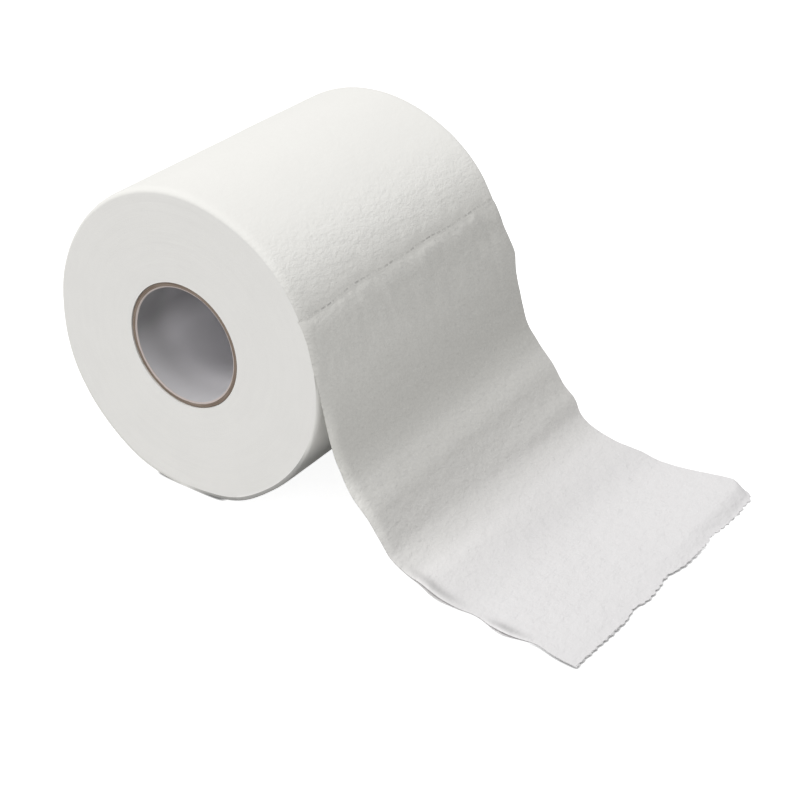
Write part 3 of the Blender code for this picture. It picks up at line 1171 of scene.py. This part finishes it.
NEAR_EDGE = SheetEdge(
    peel_angle=math.radians(14.0),
    hang_run_share=0.484,
    hang_angle=math.radians(-75.7),
    flare_radius_share=0.742,
    slope_angle=math.radians(-43.6),
    heel_angle=math.radians(-59.4),
    heel_radius_share=0.092,
    toe_angle=math.radians(-35.6),
    toe_radius_share=0.586,
)

FAR_EDGE = SheetEdge(
    peel_angle=math.radians(20.5),
    hang_run_share=0.664,
    hang_angle=math.radians(-71.9),
    flare_radius_share=0.218,
    slope_angle=math.radians(-46.7),
    heel_angle=math.radians(-50.6),
    heel_radius_share=0.250,
    toe_angle=math.radians(-19.5),
    toe_radius_share=1.640,
)


@dataclass(frozen=True)
class Fold:
    """A soft ridge across the loose sheet.

    Its line crosses the sheet from near_share to far_share of the sheet's length. It is
    at its full height at peak_share of the paper's width, and fades over fade_share.
    """

    near_share: float
    far_share: float
    peak_share: float
    fade_share: float
    height: float
    spread: float


FOLDS = (
    Fold(0.439, 0.409, 0.50, 0.90, 0.0011, 0.0036),
    Fold(0.528, 0.508, 0.85, 0.75, 0.0011, 0.0036),
    Fold(0.463, 0.468, 0.42, 0.30, 0.0004, 0.0022),
    Fold(0.626, 0.646, 0.10, 0.60, 0.0010, 0.0045),
    Fold(0.119, 0.119, 1.00, 0.35, 0.0016, 0.0065),
    Fold(0.595, 0.600, 1.00, 0.35, -0.0006, 0.0080),
    Fold(0.705, 0.707, 1.00, 0.30, 0.0009, 0.0055),
    Fold(0.784, 0.803, 0.15, 0.55, 0.0010, 0.0240),
    Fold(0.965, 0.965, 1.05, 0.75, 0.0038, 0.0170),
)


@dataclass(frozen=True)
class Crease:
    """A small sharp wrinkle between two places, each as (share of width, share of length)."""

    start: tuple[float, float]
    end: tuple[float, float]
    height: float
    spread: float


CREASES = (
    Crease((0.42, 0.409), (0.50, 0.421), 0.00022, 0.0007),
    Crease((0.80, 0.463), (0.96, 0.567), 0.00016, 0.0008),
    Crease((0.55, 0.508), (0.62, 0.547), 0.00016, 0.0008),
)


@dataclass(frozen=True)
class EdgeLip:
    """A stretch of the near edge that curls up or down, or lies further out or in.

    The travel's place and spread are shares of the sheet's length, and the reach is a
    share of its width. It is on one ply, or on both where none is named.
    """

    travel_share: float
    spread_share: float
    reach_share: float
    height: float
    shift: float
    ply: Ply | None = None


NEAR_LIPS = (
    EdgeLip(0.650, 0.052, 0.062, 0.0009, 0.0, Ply.UPPER),
    EdgeLip(0.650, 0.052, 0.075, 0.0, 0.0008, Ply.UPPER),
    EdgeLip(0.660, 0.045, 0.075, 0.0, 0.0011, Ply.LOWER),
    EdgeLip(0.832, 0.036, 0.052, 0.0008, 0.0, Ply.UPPER),
    EdgeLip(0.832, 0.036, 0.060, 0.0, 0.0008, Ply.UPPER),
    EdgeLip(0.832, 0.030, 0.060, 0.0, 0.0010, Ply.LOWER),
    EdgeLip(0.764, 0.038, 0.110, 0.0, -0.0014),
    EdgeLip(0.905, 0.034, 0.100, 0.0, -0.0014),
    EdgeLip(0.200, 0.080, 0.060, -0.0008, 0.0),
    EdgeLip(0.420, 0.080, 0.050, -0.0004, 0.0004),
)


@dataclass(frozen=True)
class TearDip:
    """A stretch of the torn end that lies back from its line."""

    share: float
    spread: float
    depth: float


TEAR_DIPS = (
    TearDip(0.31, 0.045, 0.0012),
    TearDip(0.49, 0.050, 0.0017),
    TearDip(0.42, 0.020, 0.0006),
    TearDip(0.74, 0.040, 0.0008),
    TearDip(0.93, 0.020, 0.0006),
)


@dataclass
class LooseSheet:
    """The last sheet, which leaves the roll at the perforation and runs down to the surface."""

    sizes: RollSizes
    perforation: Perforation
    length: float = 0.140
    rim_drop: float = 0.0014
    rim_depth: float = 0.0026
    lip: float = 0.00015
    web_thickness: float = 0.0005
    clearance: float = 0.0002
    settle_run: float = 0.012
    ply_thickness: float = 0.0001
    ply_gap: float = 0.00008
    ply_gap_share: float = 0.3
    upper_rows: int = 210
    lower_rows: int = 140
    row_crowding: float = 0.4
    fan_out: float = 0.0042
    fan_start_share: float = 0.567
    fan_end_share: float = 0.823
    droop_run: float = 0.0060
    droop_share: float = 0.75
    start_run: float = 0.0028
    start_sink: float = 0.00013
    start_sink_run: float = 0.0012
    slit_open: float = 0.00008
    slit_chances: Span = (0.2, 1.0)
    slit_dimpled: float = 1.6
    slit_run: float = 0.0012
    tab_opening: float = -0.00006
    tooth: float = 0.00034
    tooth_chances: Span = (0.3, 1.5)
    tooth_run: float = 0.0015
    tab_bite: float = 0.0003
    corner: float = 0.0032
    corner_reach: float = 0.008
    lip_power: float = 1.6
    # Where the lips' painted shade and highlight lie: how far along the edge, the crest's highlight and
    # width, and the fold's place and width.
    lip_length: float = 1.15
    crest_painted_highlight: float = 0.8
    crest_share: float = 0.12
    fold_share: float = 0.38
    fold_spread_share: float = 0.23
    crease_ends: Span = (0.12, 0.88)
    crumple_start: float = 0.0025
    sway: Wave = Wave(0.0021, 0.006)
    puckers: Ripple = Ripple(0.00070, 0.0042, 0.012, 1.0)
    wide_puckers: Ripple = Ripple(0.00060, 0.009, 0.016, 5.0)
    pucker_reach: float = 0.017
    hung_ripples: tuple[Ripple, ...] = (
        Ripple(0.00019, 0.0055, 0.0045, 3.0),
        Ripple(0.00034, 0.022, 0.014, 7.0),
    )
    laid_ripples: tuple[Ripple, ...] = (
        Ripple(0.00012, 0.0055, 0.0045, 3.0),
        Ripple(0.00022, 0.022, 0.014, 7.0),
    )
    hung_end_share: float = 0.50
    hung_fade_share: float = 0.14
    rumple: Ripple = Ripple(0.00012, 0.0018, 0.0018, 6.0)
    rumple_share: float = 0.45
    rumple_wide_share: float = 0.16
    rumple_at: float = 0.064
    rumple_spread: float = 0.012
    sharp_angle: float = math.radians(50.0)

    @property
    def width(self) -> float:
        """The paper's width."""
        return 2 * self.sizes.half_width

    def edge_between(self, share: float) -> SheetEdge:
        """Return the sheet's course between its two edges.

        Args:
            share: The share of the paper's width from the near edge.

        Returns:
            The course there.
        """
        values = {}
        for item in fields(SheetEdge):
            values[item.name] = between(getattr(NEAR_EDGE, item.name), getattr(FAR_EDGE, item.name), share)
        return SheetEdge(**values)

    @staticmethod
    def run_fall(length: float, start: float, end: float) -> float:
        """Return how far a run falls while its heading turns evenly.

        Args:
            length: The run's length.
            start: The heading at its start.
            end: The heading at its end.

        Returns:
            The distance downwards.
        """
        if math.isclose(start, end):
            return -length * math.sin(start)
        return length * (math.cos(end) - math.cos(start)) / (end - start)

    @staticmethod
    def run_reach(length: float, start: float, end: float) -> float:
        """Return how far a run reaches out while its heading turns evenly.

        Args:
            length: The run's length.
            start: The heading at its start.
            end: The heading at its end.

        Returns:
            The distance outwards.
        """
        if math.isclose(start, end):
            return length * math.cos(start)
        return length * (math.sin(end) - math.sin(start)) / (end - start)

    def runs(self, share: float) -> list[Run]:
        """Return the sheet's runs at a share of the width.

        It follows the roll, hangs, flares into a slope, folds at the heel, and eases
        onto the surface. The slope is as long as the drop to the surface needs.

        Args:
            share: The share of the paper's width from the near edge.

        Returns:
            Each run as (length, heading at its start, heading at its end).
        """
        edge = self.edge_between(share)
        radius = self.sizes.radius
        peel_heading = edge.peel_angle - QUARTER_TURN
        flare = edge.flare_radius_share * radius * (edge.slope_angle - edge.hang_angle)
        heel = edge.heel_radius_share * radius * (edge.toe_angle - edge.heel_angle)
        toe = edge.toe_radius_share * radius * -edge.toe_angle
        upper = [
            (edge.hang_run_share * radius, peel_heading, edge.hang_angle),
            (flare, edge.hang_angle, edge.slope_angle),
        ]
        lower = [(heel, edge.heel_angle, edge.toe_angle), (toe, edge.toe_angle, 0.0)]
        outer = radius + self.lip
        height = self.sizes.axis_height + outer * math.sin(edge.peel_angle)
        height -= self.web_thickness + self.clearance
        slope_fall = height - sum(self.run_fall(*run) for run in upper + lower)
        slope = slope_fall / self.run_fall(1.0, edge.slope_angle, edge.heel_angle)
        wrap = (
            outer * (self.perforation.angle - edge.peel_angle),
            self.perforation.angle - QUARTER_TURN,
            peel_heading,
        )
        return [wrap, *upper, (slope, edge.slope_angle, edge.heel_angle), *lower]

    def along_runs(self, runs: Sequence[Run], travel: float) -> tuple[float, float, float]:
        """Return the place (x, z) and the heading after a length of travel down the sheet.

        Args:
            runs: The runs at this share of the width.
            travel: The length of travel from the perforation.

        Returns:
            The place from the roll's axis, and the heading there.
        """
        outer = self.sizes.radius + self.lip
        place_x = outer * math.cos(self.perforation.angle)
        place_z = outer * math.sin(self.perforation.angle)
        heading = runs[0][1]
        if travel < 0.0:
            return place_x + travel * math.cos(heading), place_z + travel * math.sin(heading), heading
        for length, start, end in runs:
            part = min(travel, length)
            heading = between(start, end, part / length)
            place_x += self.run_reach(part, start, heading)
            place_z -= self.run_fall(part, start, heading)
            travel -= part
            if travel <= 0.0:
                return place_x, place_z, heading
        return place_x + travel, place_z, heading

    def rim_fall(self, along: float) -> float:
        """Return how far the rounded rim lies inside the roll's full radius."""
        into_rim = held((abs(along) - self.sizes.half_width + self.rim_depth) / self.rim_depth)
        return self.rim_drop * (1.0 - math.sqrt(1.0 - into_rim**2))

    def fold_rise(self, share: float, travel: float) -> float:
        """Return how far the soft folds raise the sheet above its course.

        Args:
            share: The share of the paper's width from the near edge.
            travel: The length of travel from the perforation.

        Returns:
            The rise.
        """
        rise = 0.0
        for fold in FOLDS:
            line = between(fold.near_share, fold.far_share, share) * self.length
            strength = 1.0 - ease(abs(share - fold.peak_share) / fold.fade_share)
            rise += fold.height * strength * hump(travel - line, fold.spread)
        to_end = self.torn_length(share) - travel
        return rise * (1.0 - self.droop_share * ease(1.0 - to_end / self.droop_run))

    def crease_rise(self, share: float, travel: float) -> float:
        """Return how far the small wrinkles raise the sheet.

        Args:
            share: The share of the paper's width from the near edge.
            travel: The length of travel from the perforation.

        Returns:
            The rise.
        """
        rise = 0.0
        here = Vector((share * self.width, travel))
        for crease in CREASES:
            start = Vector((crease.start[0] * self.width, crease.start[1] * self.length))
            end = Vector((crease.end[0] * self.width, crease.end[1] * self.length))
            line = end - start
            at = held((here - start).dot(line) / line.length_squared)
            distance = (here - start - line * at).length
            faded = math.sin(math.pi * held(at, *self.crease_ends))
            rise += crease.height * hump(distance, crease.spread) * faded
        return rise

    def crumple(self, share: float, travel: float) -> float:
        """Return how far the paper's own unevenness raises the sheet.

        Args:
            share: The share of the paper's width from the near edge.
            travel: The length of travel from the perforation.

        Returns:
            The rise.
        """
        across = share * self.width
        start = ease(travel / self.crumple_start)
        swayed = across + self.sway.at(travel)
        puckers = self.puckers.at(swayed, travel) + self.wide_puckers.at(across, travel)
        hung = sum(ripple.at(across, travel) for ripple in self.hung_ripples)
        laid = sum(ripple.at(across, travel) for ripple in self.laid_ripples)
        on_surface = ease((travel / self.length - self.hung_end_share) / self.hung_fade_share)
        rise = start * (puckers * hump(travel, self.pucker_reach) + between(hung, laid, on_surface))
        middle = hump(share - self.rumple_share, self.rumple_wide_share)
        middle *= hump(travel - self.rumple_at, self.rumple_spread)
        return rise + middle * self.rumple.at(across, travel)

    def lip_place(self, lip: EdgeLip, travel: float, length: float = 1.0) -> float:
        """Return how far a place along the sheet lies within a lip, 1 at its middle."""
        return hump(travel - lip.travel_share * self.length, length * lip.spread_share * self.length)

    def edge_curl(self, ply: Ply, share: float, travel: float) -> tuple[float, float]:
        """Return how far a ply's near edge curls up, and how far it slips outwards.

        Args:
            ply: Which ply.
            share: The share of the width from the near edge.
            travel: The length of travel from the perforation.

        Returns:
            The rise and the slip.
        """
        rise = 0.0
        slip = 0.0
        for lip in NEAR_LIPS:
            if lip.ply in (None, ply):
                there = self.lip_place(lip, travel) * held(1.0 - share / lip.reach_share) ** self.lip_power
                rise += lip.height * there
                slip += lip.shift * there
        return rise, slip

    def lip_painted_shading(self, share: float, travel: float) -> float:
        """Return the painted shade in the fold behind a lip, and the painted highlight on its crest.

        Args:
            share: The share of the paper's width from the near edge.
            travel: The length of travel from the perforation.

        Returns:
            1 for full painted shade in the fold, and below 0 for painted highlight on the lip.
        """
        depth = 0.0
        for lip in NEAR_LIPS:
            if lip.height > 0.0:
                reach = lip.reach_share
                fold = hump(share - self.fold_share * reach, self.fold_spread_share * reach)
                crest = self.crest_painted_highlight * hump(share, self.crest_share * reach)
                depth += self.lip_place(lip, travel, self.lip_length) * (fold - crest)
        return held(depth, -1.0)

    def fan(self, share: float, travel: float) -> float:
        """Return how far the sheet fans out towards the near side, on the surface."""
        run = (travel / self.length - self.fan_start_share) / (self.fan_end_share - self.fan_start_share)
        return self.fan_out * (1.0 - share) * ease(run)

    def torn_length(self, share: float) -> float:
        """Return the sheet's length, as its torn end wanders and rounds off at the far corner.

        Args:
            share: The share of the paper's width from the near edge.

        Returns:
            The length.
        """
        dip = sum(dip.depth * hump(share - dip.share, dip.spread) for dip in TEAR_DIPS)
        into_corner = held(1.0 - (1.0 - share) * self.width / self.corner_reach)
        return self.length - dip - self.corner * into_corner**3

    def columns(self) -> list[tuple[float, bool]]:
        """List the grid lines along the sheet, from the near edge.

        Returns:
            Each line's place along the axis, and whether it runs into a slit.
        """
        half_width = self.sizes.half_width
        half_tab = self.perforation.tab / 2
        slit = self.perforation.slit
        count = math.floor((self.width - slit) / self.perforation.pitch)
        lines = [(-half_width, False), (half_tab - half_width, False)]
        for cell in range(count):
            middle = self.perforation.pitch * (cell - (count - 1) / 2)
            lines += [(middle - slit / 2, False), (middle - slit / 6, True)]
            lines += [(middle + slit / 6, True), (middle + slit / 2, False)]
        return lines + [(half_width - half_tab, False), (half_width, False)]

    def surface_point(self, ply: Ply, runs: Sequence[Run], along: float, travel: float) -> Vector:
        """Return a point of a ply's upper face.

        Args:
            ply: Which ply.
            runs: The sheet's runs on this line along it.
            along: The place along the roll's axis.
            travel: The length of travel from the perforation.

        Returns:
            The point.
        """
        share = (along + self.sizes.half_width) / self.width
        strayed = travel - self.perforation.wandering(along, travel)
        place_x, place_z, heading = self.along_runs(runs, strayed)
        off_roll = ease((travel - runs[0][0]) / self.settle_run)
        curl, slip = self.edge_curl(ply, share, travel)
        rise = self.fold_rise(share, travel) * ease(travel / self.settle_run)
        rise += self.crease_rise(share, travel) + self.crumple(share, travel) + curl
        room = math.hypot(place_x, place_z) - self.sizes.radius - self.lip
        rise = max(rise, -room)
        rise -= self.perforation.valley(along, travel) + self.lip * (1.0 - ease(travel / self.start_run))
        rise -= self.start_sink * (1.0 - ease(travel / self.start_sink_run))
        rise -= self.rim_fall(along) * (1.0 - off_roll)
        if ply is Ply.LOWER:
            rise -= self.ply_thickness + self.ply_gap * (self.ply_gap_share + ease(travel / self.settle_run))
        height = self.sizes.axis_height + place_z + rise * math.cos(heading)
        height = max(height, self.clearance + self.ply_thickness)
        aside = along - slip - self.fan(share, travel)
        return Vector((place_x - rise * math.sin(heading), aside, height))

    def slit_gap(self, along: float, chance: random.Random) -> float:
        """Return how far a slit gapes, which is more where the paper dimples."""
        even = chance.uniform(*self.slit_chances)
        return self.slit_open * (even + self.slit_dimpled * self.perforation.dimple(along))

    def bite(self, slit: bool, chance: random.Random) -> float:
        """Return how far the torn end lies back at a grid line, which is more in line with a slit.

        Args:
            slit: Whether the line is in line with a slit.
            chance: The source of the unevenness.

        Returns:
            The distance.
        """
        if slit:
            return chance.uniform(*self.tooth_chances) * self.tooth
        return chance.uniform(-self.tab_bite, self.tab_bite)

    def build_ply(self, ply: Ply, finish: bpy.types.Material, chance: random.Random) -> bpy.types.Object:
        """Make one ply of the sheet.

        Args:
            ply: Which ply.
            finish: Its material.
            chance: The source of the slits' and teeth's unevenness.

        Returns:
            The piece.
        """
        columns = self.columns()
        rows = self.upper_rows if ply is Ply.UPPER else self.lower_rows
        courses = [self.runs((along + self.sizes.half_width) / self.width) for along, _ in columns]
        opened = [self.slit_gap(along, chance) if slit else self.tab_opening for along, slit in columns]
        bitten = [self.bite(slit, chance) for _, slit in columns]
        bm = bmesh.new()
        bmesh.ops.create_grid(bm, x_segments=rows, y_segments=len(columns) - 1, size=0.5)
        lip_shade_layer = bm.verts.layers.float.new(PAINTED_LIP_SHADE)
        places = {}
        for vertex in bm.verts:
            column = round((vertex.co.y + 0.5) * (len(columns) - 1))
            along = columns[column][0]
            share = (along + self.sizes.half_width) / self.width
            even = vertex.co.x + 0.5
            even -= self.row_crowding * math.sin(math.tau * even) / math.tau
            torn = self.torn_length(share)
            travel = even * torn
            travel += opened[column] * (1.0 - ease(travel / self.slit_run))
            travel -= bitten[column] * ease(1.0 - (torn - travel) / self.tooth_run)
            places[vertex] = (along + self.sizes.half_width, travel)
            # Painted shade and highlight of the lips, on the upper ply only.
            vertex[lip_shade_layer] = self.lip_painted_shading(share, travel) if ply is Ply.UPPER else 0.0
            vertex.co = self.surface_point(ply, courses[column], along, travel)
        web = bm.loops.layers.uv.new(WEB_MAP)
        for face in bm.faces:
            for loop in face.loops:
                loop[web].uv = places[loop.vert]
        piece = PieceMaker.make(bm, ply.value, [finish])
        PieceMaker.thicken(piece, self.ply_thickness)
        PieceMaker.finish(piece, self.sharp_angle, Slot.TISSUE, PAPER_NODE)
        return piece

    def build(self, finish: bpy.types.Material, wound: bpy.types.Object) -> list[bpy.types.Object]:
        """Make both plies.

        Args:
            finish: Their material.
            wound: Not used.

        Returns:
            The pieces.
        """
        pieces = []
        for seed, ply in enumerate(Ply):
            piece = self.build_ply(ply, finish, random.Random(seed + 4))
            pieces.append(piece)
        return pieces


@dataclass
class BoardTube:
    """The spiral-wound tube with its lining's seam."""

    sizes: RollSizes
    wall: float = 0.0016
    edge: float = 0.00025
    layer_shares: tuple[float, float] = (0.66, 0.33)
    steps: int = 192
    bore_rows: int = 60
    seam_pitch: float = 0.088
    seam_step: float = 0.00012
    seam_run: float = 0.0012
    seam_fade_share: float = 4.0
    soft: float = 0.00012
    soft_waves: float = 2.0
    soft_length: float = 0.03
    fray: float = 0.00018
    fray_waves: float = 9.0
    fray_layer: float = 0.0007
    lining_end_share: float = 1.5
    sharp_angle: float = math.radians(40.0)

    @property
    def inner_radius(self) -> float:
        """The radius of the bore."""
        return self.sizes.tube_radius - self.wall

    @property
    def lining_end(self) -> float:
        """How far from the middle the lining ends and the cut edge starts."""
        return self.sizes.tube_half_length - self.lining_end_share * self.edge

    def section(self) -> list[tuple[float, float]]:
        """List the points of the wall's section, from the far end through the bore to the near one.

        Returns:
            Each point's radius and its place along the axis.
        """
        inner = self.inner_radius
        outer = self.sizes.tube_radius
        half = self.sizes.tube_half_length
        reach = half - self.edge
        end = [(outer, reach), (outer - self.edge, half)]
        end += [(between(inner, outer, share), half) for share in self.layer_shares]
        end.append((inner + self.edge, half))
        bore = [(inner, between(reach, -reach, row / self.bore_rows)) for row in range(self.bore_rows + 1)]
        return end + bore + [(radius, -along) for radius, along in reversed(end)]

    def shape(self, vertex: bmesh.types.BMVert) -> None:
        """Work the seam, the soft wall and the frayed ends into the turned tube.

        Args:
            vertex: A point of the tube, still about the axis.
        """
        inner = self.inner_radius
        angle = math.atan2(vertex.co.z, vertex.co.x)
        radius = math.hypot(vertex.co.x, vertex.co.z)
        along = vertex.co.y
        if radius < inner + self.edge / 2:
            phase = (angle / math.tau - along / self.seam_pitch) % 1.0
            run = phase * math.tau * inner
            faded = 1.0 - ease(run / (inner * self.seam_fade_share))
            radius -= self.seam_step * faded * ease(run / self.seam_run)
            radius += self.soft * wander_round(angle, self.soft_waves, along / self.soft_length)
        if abs(along) > self.sizes.tube_half_length - self.edge / 2:
            fray = self.fray * wander_round(angle, self.fray_waves, radius / self.fray_layer)
            along -= math.copysign(abs(fray), along)
        vertex.co = (radius * math.cos(angle), along, radius * math.sin(angle))

    def build(self, finish: bpy.types.Material) -> bpy.types.Object:
        """Make the tube.

        Args:
            finish: Its material.

        Returns:
            The piece.
        """
        bm = bmesh.new()
        corners = [bm.verts.new((radius, along, 0.0)) for radius, along in self.section()]
        PieceMaker.spin(bm, corners, self.steps, use_merge=True)
        for vertex in bm.verts:
            self.shape(vertex)
        bmesh.ops.translate(bm, verts=bm.verts, vec=self.sizes.tube_centre)
        PieceMaker.close(bm)
        piece = PieceMaker.make(bm, "board_tube", [finish])
        PieceMaker.finish(piece, self.sharp_angle, Slot.BOARD, TUBE_NODE)
        return piece


@dataclass
class Studio:
    """The pale floor, the soft light and the camera of the picture."""

    floor_half: float = 3.0
    floor_colour: Colour = (0.67, 0.67, 0.67)
    floor_roughness: float = 0.9
    floor_gloss: float = 0.1
    floor_lift: float = 0.90
    contact_reach: float = 0.0010
    contact_power: float = 3.0
    contact_samples: int = 8
    sky_strength: float = 0.65
    lamp_power: float = 9.8
    lamp_size: float = 0.9
    lamp_distance: float = 1.6
    lamp_towards: Place = (-0.321, -0.383, 0.866)
    camera_place: Place = (0.31242, -0.41069, 0.31970)
    camera_azimuth: float = math.radians(33.293)
    camera_elevation: float = math.radians(31.128)
    camera_roll: float = math.radians(2.248)
    lens: float = 84.49
    film: float = 36.0

    def build_floor(self) -> None:
        """Lay the pale floor, lifted to white for the camera except where the roll touches it."""
        bm = bmesh.new()
        bmesh.ops.create_grid(bm, x_segments=1, y_segments=1, size=self.floor_half)
        pale = Shader("pale_floor", self.floor_roughness, self.floor_gloss)
        pale.surface["Base Color"].default_value = (*self.floor_colour, 1.0)
        pale.surface["Emission Color"].default_value = WHITE
        reach = {"Distance": self.contact_reach}
        contact = pale.add("ShaderNodeAmbientOcclusion", reach, samples=self.contact_samples)
        open_share = pale.math("POWER", contact.outputs["AO"], self.contact_power)
        lift = pale.math("MULTIPLY", open_share, self.floor_lift)
        pale.join(pale.product(lift, pale.seen_directly()), pale.surface["Emission Strength"])
        PieceMaker.make(bm, "floor", [pale.material])

    def build_sky(self) -> None:
        """Light the scene softly from all round, and show white behind it."""
        world = bpy.data.worlds.new("soft_studio")
        bpy.context.scene.world = world
        world.use_nodes = True
        sky = Nodes(world.node_tree)
        background = sky.tree.nodes["Background"].inputs
        background["Color"].default_value = WHITE
        values = {"Value": sky.seen_directly(), "To Min": self.sky_strength, "To Max": 1.0}
        sky.join(sky.add("ShaderNodeMapRange", values).outputs["Result"], background["Strength"])

    def build_lamp(self) -> None:
        """Hang one large soft lamp above the near end."""
        light = bpy.data.lights.new("soft_lamp", "AREA")
        light.shape = "DISK"
        light.size = self.lamp_size
        light.energy = self.lamp_power
        towards = Vector(self.lamp_towards).normalized()
        lamp = bpy.data.objects.new("soft_lamp", light)
        lamp.location = towards * self.lamp_distance
        lamp.rotation_euler = towards.to_track_quat("Z", "Y").to_euler()
        bpy.context.scene.collection.objects.link(lamp)

    def build_camera(self) -> None:
        """Place the camera at the picture's view."""
        data = bpy.data.cameras.new("picture_view")
        data.lens = self.lens
        data.sensor_width = self.film
        camera = bpy.data.objects.new("picture_view", data)
        turned = Matrix.Rotation(self.camera_azimuth, 4, "Z")
        turned = turned @ Matrix.Rotation(QUARTER_TURN - self.camera_elevation, 4, "X")
        turned = turned @ Matrix.Rotation(self.camera_roll, 4, "Z")
        camera.matrix_world = Matrix.Translation(self.camera_place) @ turned
        bpy.context.scene.collection.objects.link(camera)
        bpy.context.scene.camera = camera

    def build(self) -> None:
        """Set up the whole studio."""
        self.build_floor()
        self.build_sky()
        self.build_lamp()
        self.build_camera()
        bpy.context.scene.view_settings.view_transform = "Standard"


def report(piece: bpy.types.Object) -> None:
    """Log a piece's name and how many triangles it has."""
    triangles = sum(len(face.vertices) - 2 for face in piece.data.polygons)
    LOG.info("%s: %d triangles", piece.name, triangles)


def main() -> None:
    """Build the dressed roll and its studio."""
    logging.basicConfig(level=logging.INFO, format="%(name)s: %(message)s")
    sizes = RollSizes.from_frame()
    perforation = Perforation()
    paper = WoundPaper(sizes, perforation)
    sheet = LooseSheet(sizes, perforation)
    tube = BoardTube(sizes)

    rows = (sheet.length, perforation.pitch, perforation.slit / perforation.pitch)
    ends = EndFinish().build(sizes.tube_centre)
    wound = paper.build(WOUND_TISSUE.build(*rows), ends)
    plies = sheet.build(THIN_TISSUE.build(*rows), wound)
    board = BoardFinish().build(sizes.tube_centre, tube.inner_radius, tube.wall, tube.lining_end)
    for piece in (wound, *plies, tube.build(board)):
        report(piece)
    Studio().build()


if __name__ == "__main__":
    main()
